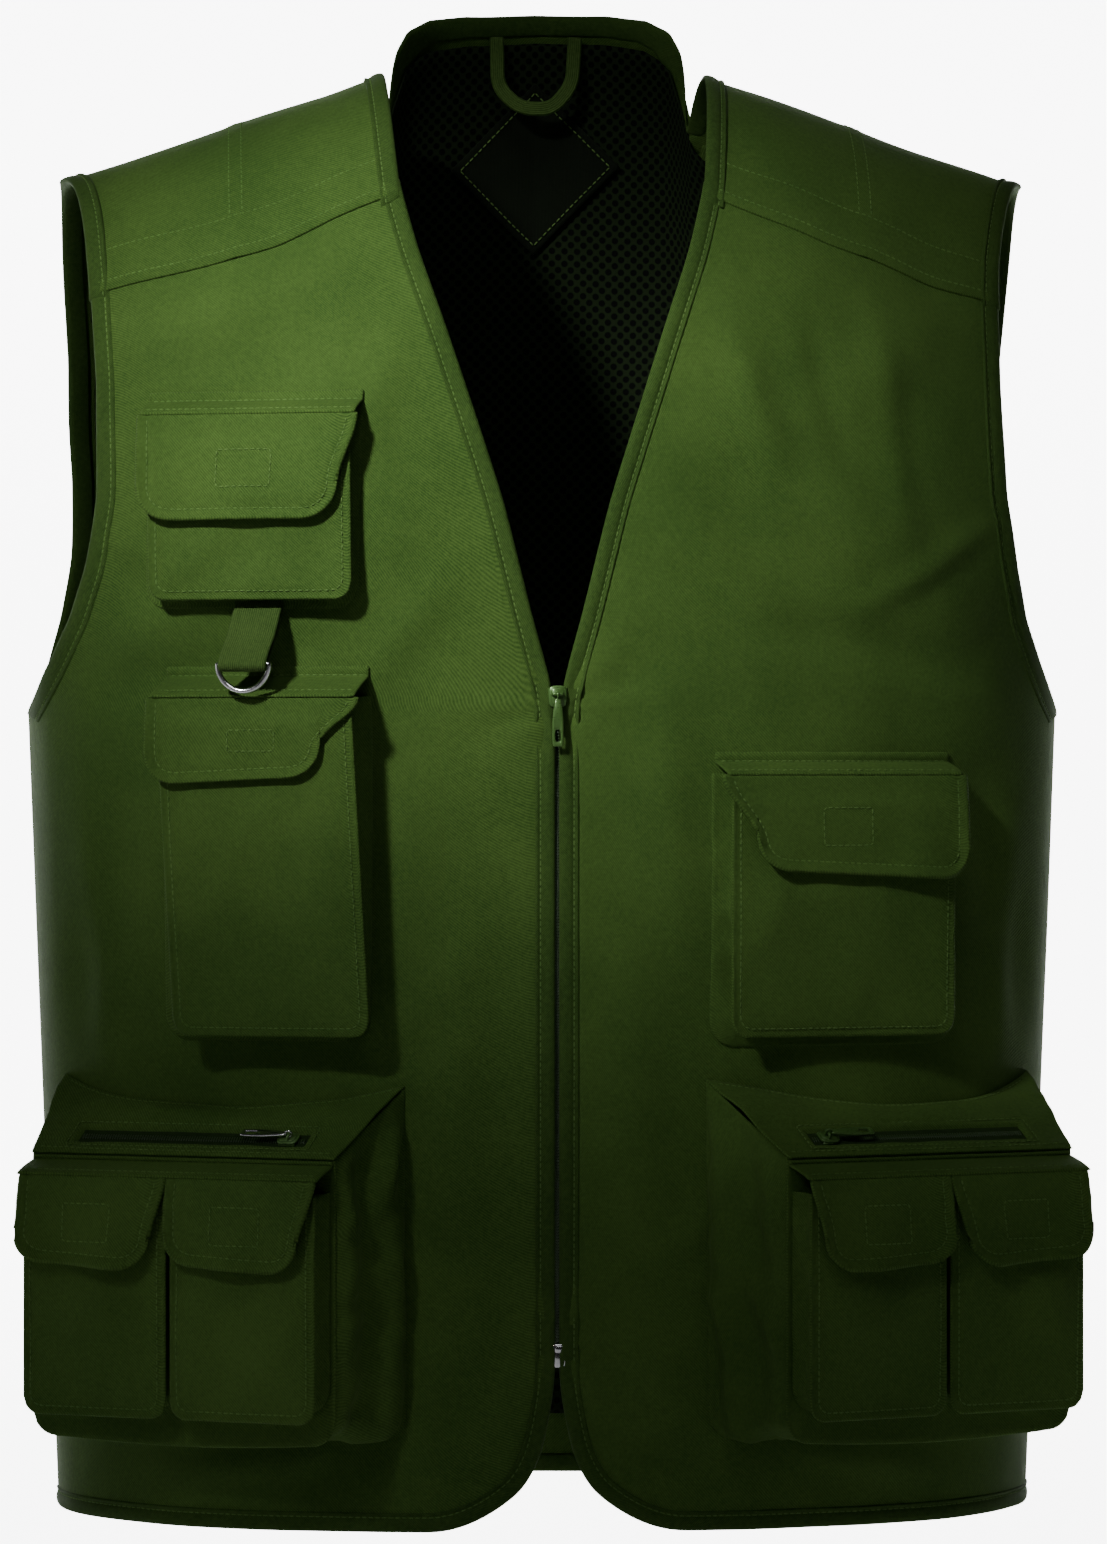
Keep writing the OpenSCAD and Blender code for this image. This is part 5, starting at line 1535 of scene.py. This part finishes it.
def build_camera():
    data = bpy.data.cameras.new("camera")
    data.sensor_fit = "VERTICAL"
    data.sensor_height = 24.0
    data.lens = 24.0 / 2 / (VIEW_HEIGHT / 2 / CAMERA_DISTANCE)
    camera = bpy.data.objects.new("camera", data)
    bpy.context.scene.collection.objects.link(camera)
    target = Vector((0.0055, SIDE_Y, HEM_Z + 0.362))
    away = Vector((-math.sin(CAMERA_TURN), -math.cos(CAMERA_TURN), 0))
    camera.location = target + away * CAMERA_DISTANCE
    camera.rotation_euler = (-away).to_track_quat("-Z", "Y").to_euler()
    bpy.context.scene.camera = camera


def lamp(name, kind, place_at, aim, power, **settings):
    """A lamp aimed at a place, both in metres from the side seams' line at the hem."""
    data = bpy.data.lights.new(name, kind)
    data.energy = power
    for key, value in settings.items():
        setattr(data, key, value)
    made = bpy.data.objects.new(name, data)
    bpy.context.scene.collection.objects.link(made)
    made.location = Vector(place_at) + Vector((0, SIDE_Y, HEM_Z))
    to = Vector(aim) + Vector((0, SIDE_Y, HEM_Z)) - made.location
    made.rotation_euler = to.to_track_quat("-Z", "Y").to_euler()


WALL_Y, WALL_TOP, STAGE_BEND, STAGE_HALF, FLOOR_DROP = 4.6, 6.0, 1.2, 9.0, 0.12
GLOW_AT, GLOW_NEAR, GLOW_FAR, GLOW = (0, SIDE_Y + 3.4, HEM_Z + 0.3), 2.7, 3.2, 7.0


def stage_material(name):
    """Pale paper that glows round GLOW_AT and fades out between GLOW_NEAR and GLOW_FAR from it."""
    look = Look(name, Base_Color=(0.8, 0.8, 0.8, 1), Roughness=0.9, Emission_Color=(1, 1, 1, 1))
    reach = look.node("VectorMath", operation="DISTANCE")
    reach.inputs[1].default_value = GLOW_AT
    look.links.new(look.node("NewGeometry").outputs["Position"], reach.inputs[0])
    glow = look.node("MapRange", interpolation_type="SMOOTHSTEP", From_Min=GLOW_NEAR, From_Max=GLOW_FAR,
                     To_Min=GLOW, To_Max=0.1)
    look.links.new(reach.outputs["Value"], glow.inputs["Value"])
    look.links.new(glow.outputs["Result"], look.shader.inputs["Emission Strength"])
    return look.material


def build_stage():
    """A pale floor, and a bright wall that it curves up into behind the vest."""
    profile = [(-6.0, 0.0), (0.5, 0.0), (WALL_Y - STAGE_BEND, 0.0)]
    profile += [(WALL_Y - STAGE_BEND + STAGE_BEND * math.sin(a), STAGE_BEND - STAGE_BEND * math.cos(a))
                for a in np.linspace(0.1, math.pi / 2, 14)]
    profile.append((WALL_Y, WALL_TOP))
    for name, rows in (("floor", profile[:2]), ("wall", profile[1:])):
        verts = [(x, y + SIDE_Y, z + HEM_Z - FLOOR_DROP) for y, z in rows for x in (-STAGE_HALF, STAGE_HALF)]
        faces = [(2 * i, 2 * i + 1, 2 * i + 3, 2 * i + 2) for i in range(len(rows) - 1)]
        mesh = bpy.data.meshes.new(name)
        mesh.from_pydata(verts, [], faces)
        mesh.polygons.foreach_set("use_smooth", [True] * len(faces))
        mesh.materials.append(stage_material(f"stage_{name}"))
        stage = bpy.data.objects.new(f"stage_{name}", mesh)
        bpy.context.scene.collection.objects.link(stage)


SPOTS = {  # place, aim, power in watts, cone in degrees, size in metres
    "key": ((-0.95, -1.45, 1.5), (-0.06, -0.12, 0.535), 265, 16.8, 0.1),
    "cargo_right": ((-0.9, -1.4, 1.3), (-0.16, -0.2, 0.185), 42, 8.5, 0.12),
    "cargo_left": ((-0.6, -1.5, 1.3), (0.17, -0.2, 0.185), 24, 8.5, 0.12)}
DISKS = {  # place, aim, power in watts, size in metres
    "fill": ((0.0, -1.1, 1.9), (0.0, -0.1, 0.3), 3.6, 0.6),
    "rim": ((-1.8, -0.3, 0.5), (-0.2, 0.0, 0.3), 1.6, 0.5)}
WORLD_LIGHT = 0.012


def build_light():
    world = bpy.data.worlds.new("studio")
    world.use_nodes = True
    background = world.node_tree.nodes["Background"]
    background.inputs["Color"].default_value = (1, 1, 1, 1)
    background.inputs["Strength"].default_value = WORLD_LIGHT
    bpy.context.scene.world = world
    for name, (place_at, aim, power, cone, size) in SPOTS.items():
        lamp(name, "SPOT", place_at, aim, power, spot_size=math.radians(cone), spot_blend=1.0,
             shadow_soft_size=size)
    for name, (place_at, aim, power, size) in DISKS.items():
        lamp(name, "AREA", place_at, aim, power, shape="DISK", size=size)


for ring in [o for o in bpy.data.objects if o.name == "d_ring" or o.get("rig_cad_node") == "d_ring"]:
    ring.data.materials.clear()
    ring.data.materials.append(CHROME)
build_stitches()
build_camera()
build_light()
build_stage()
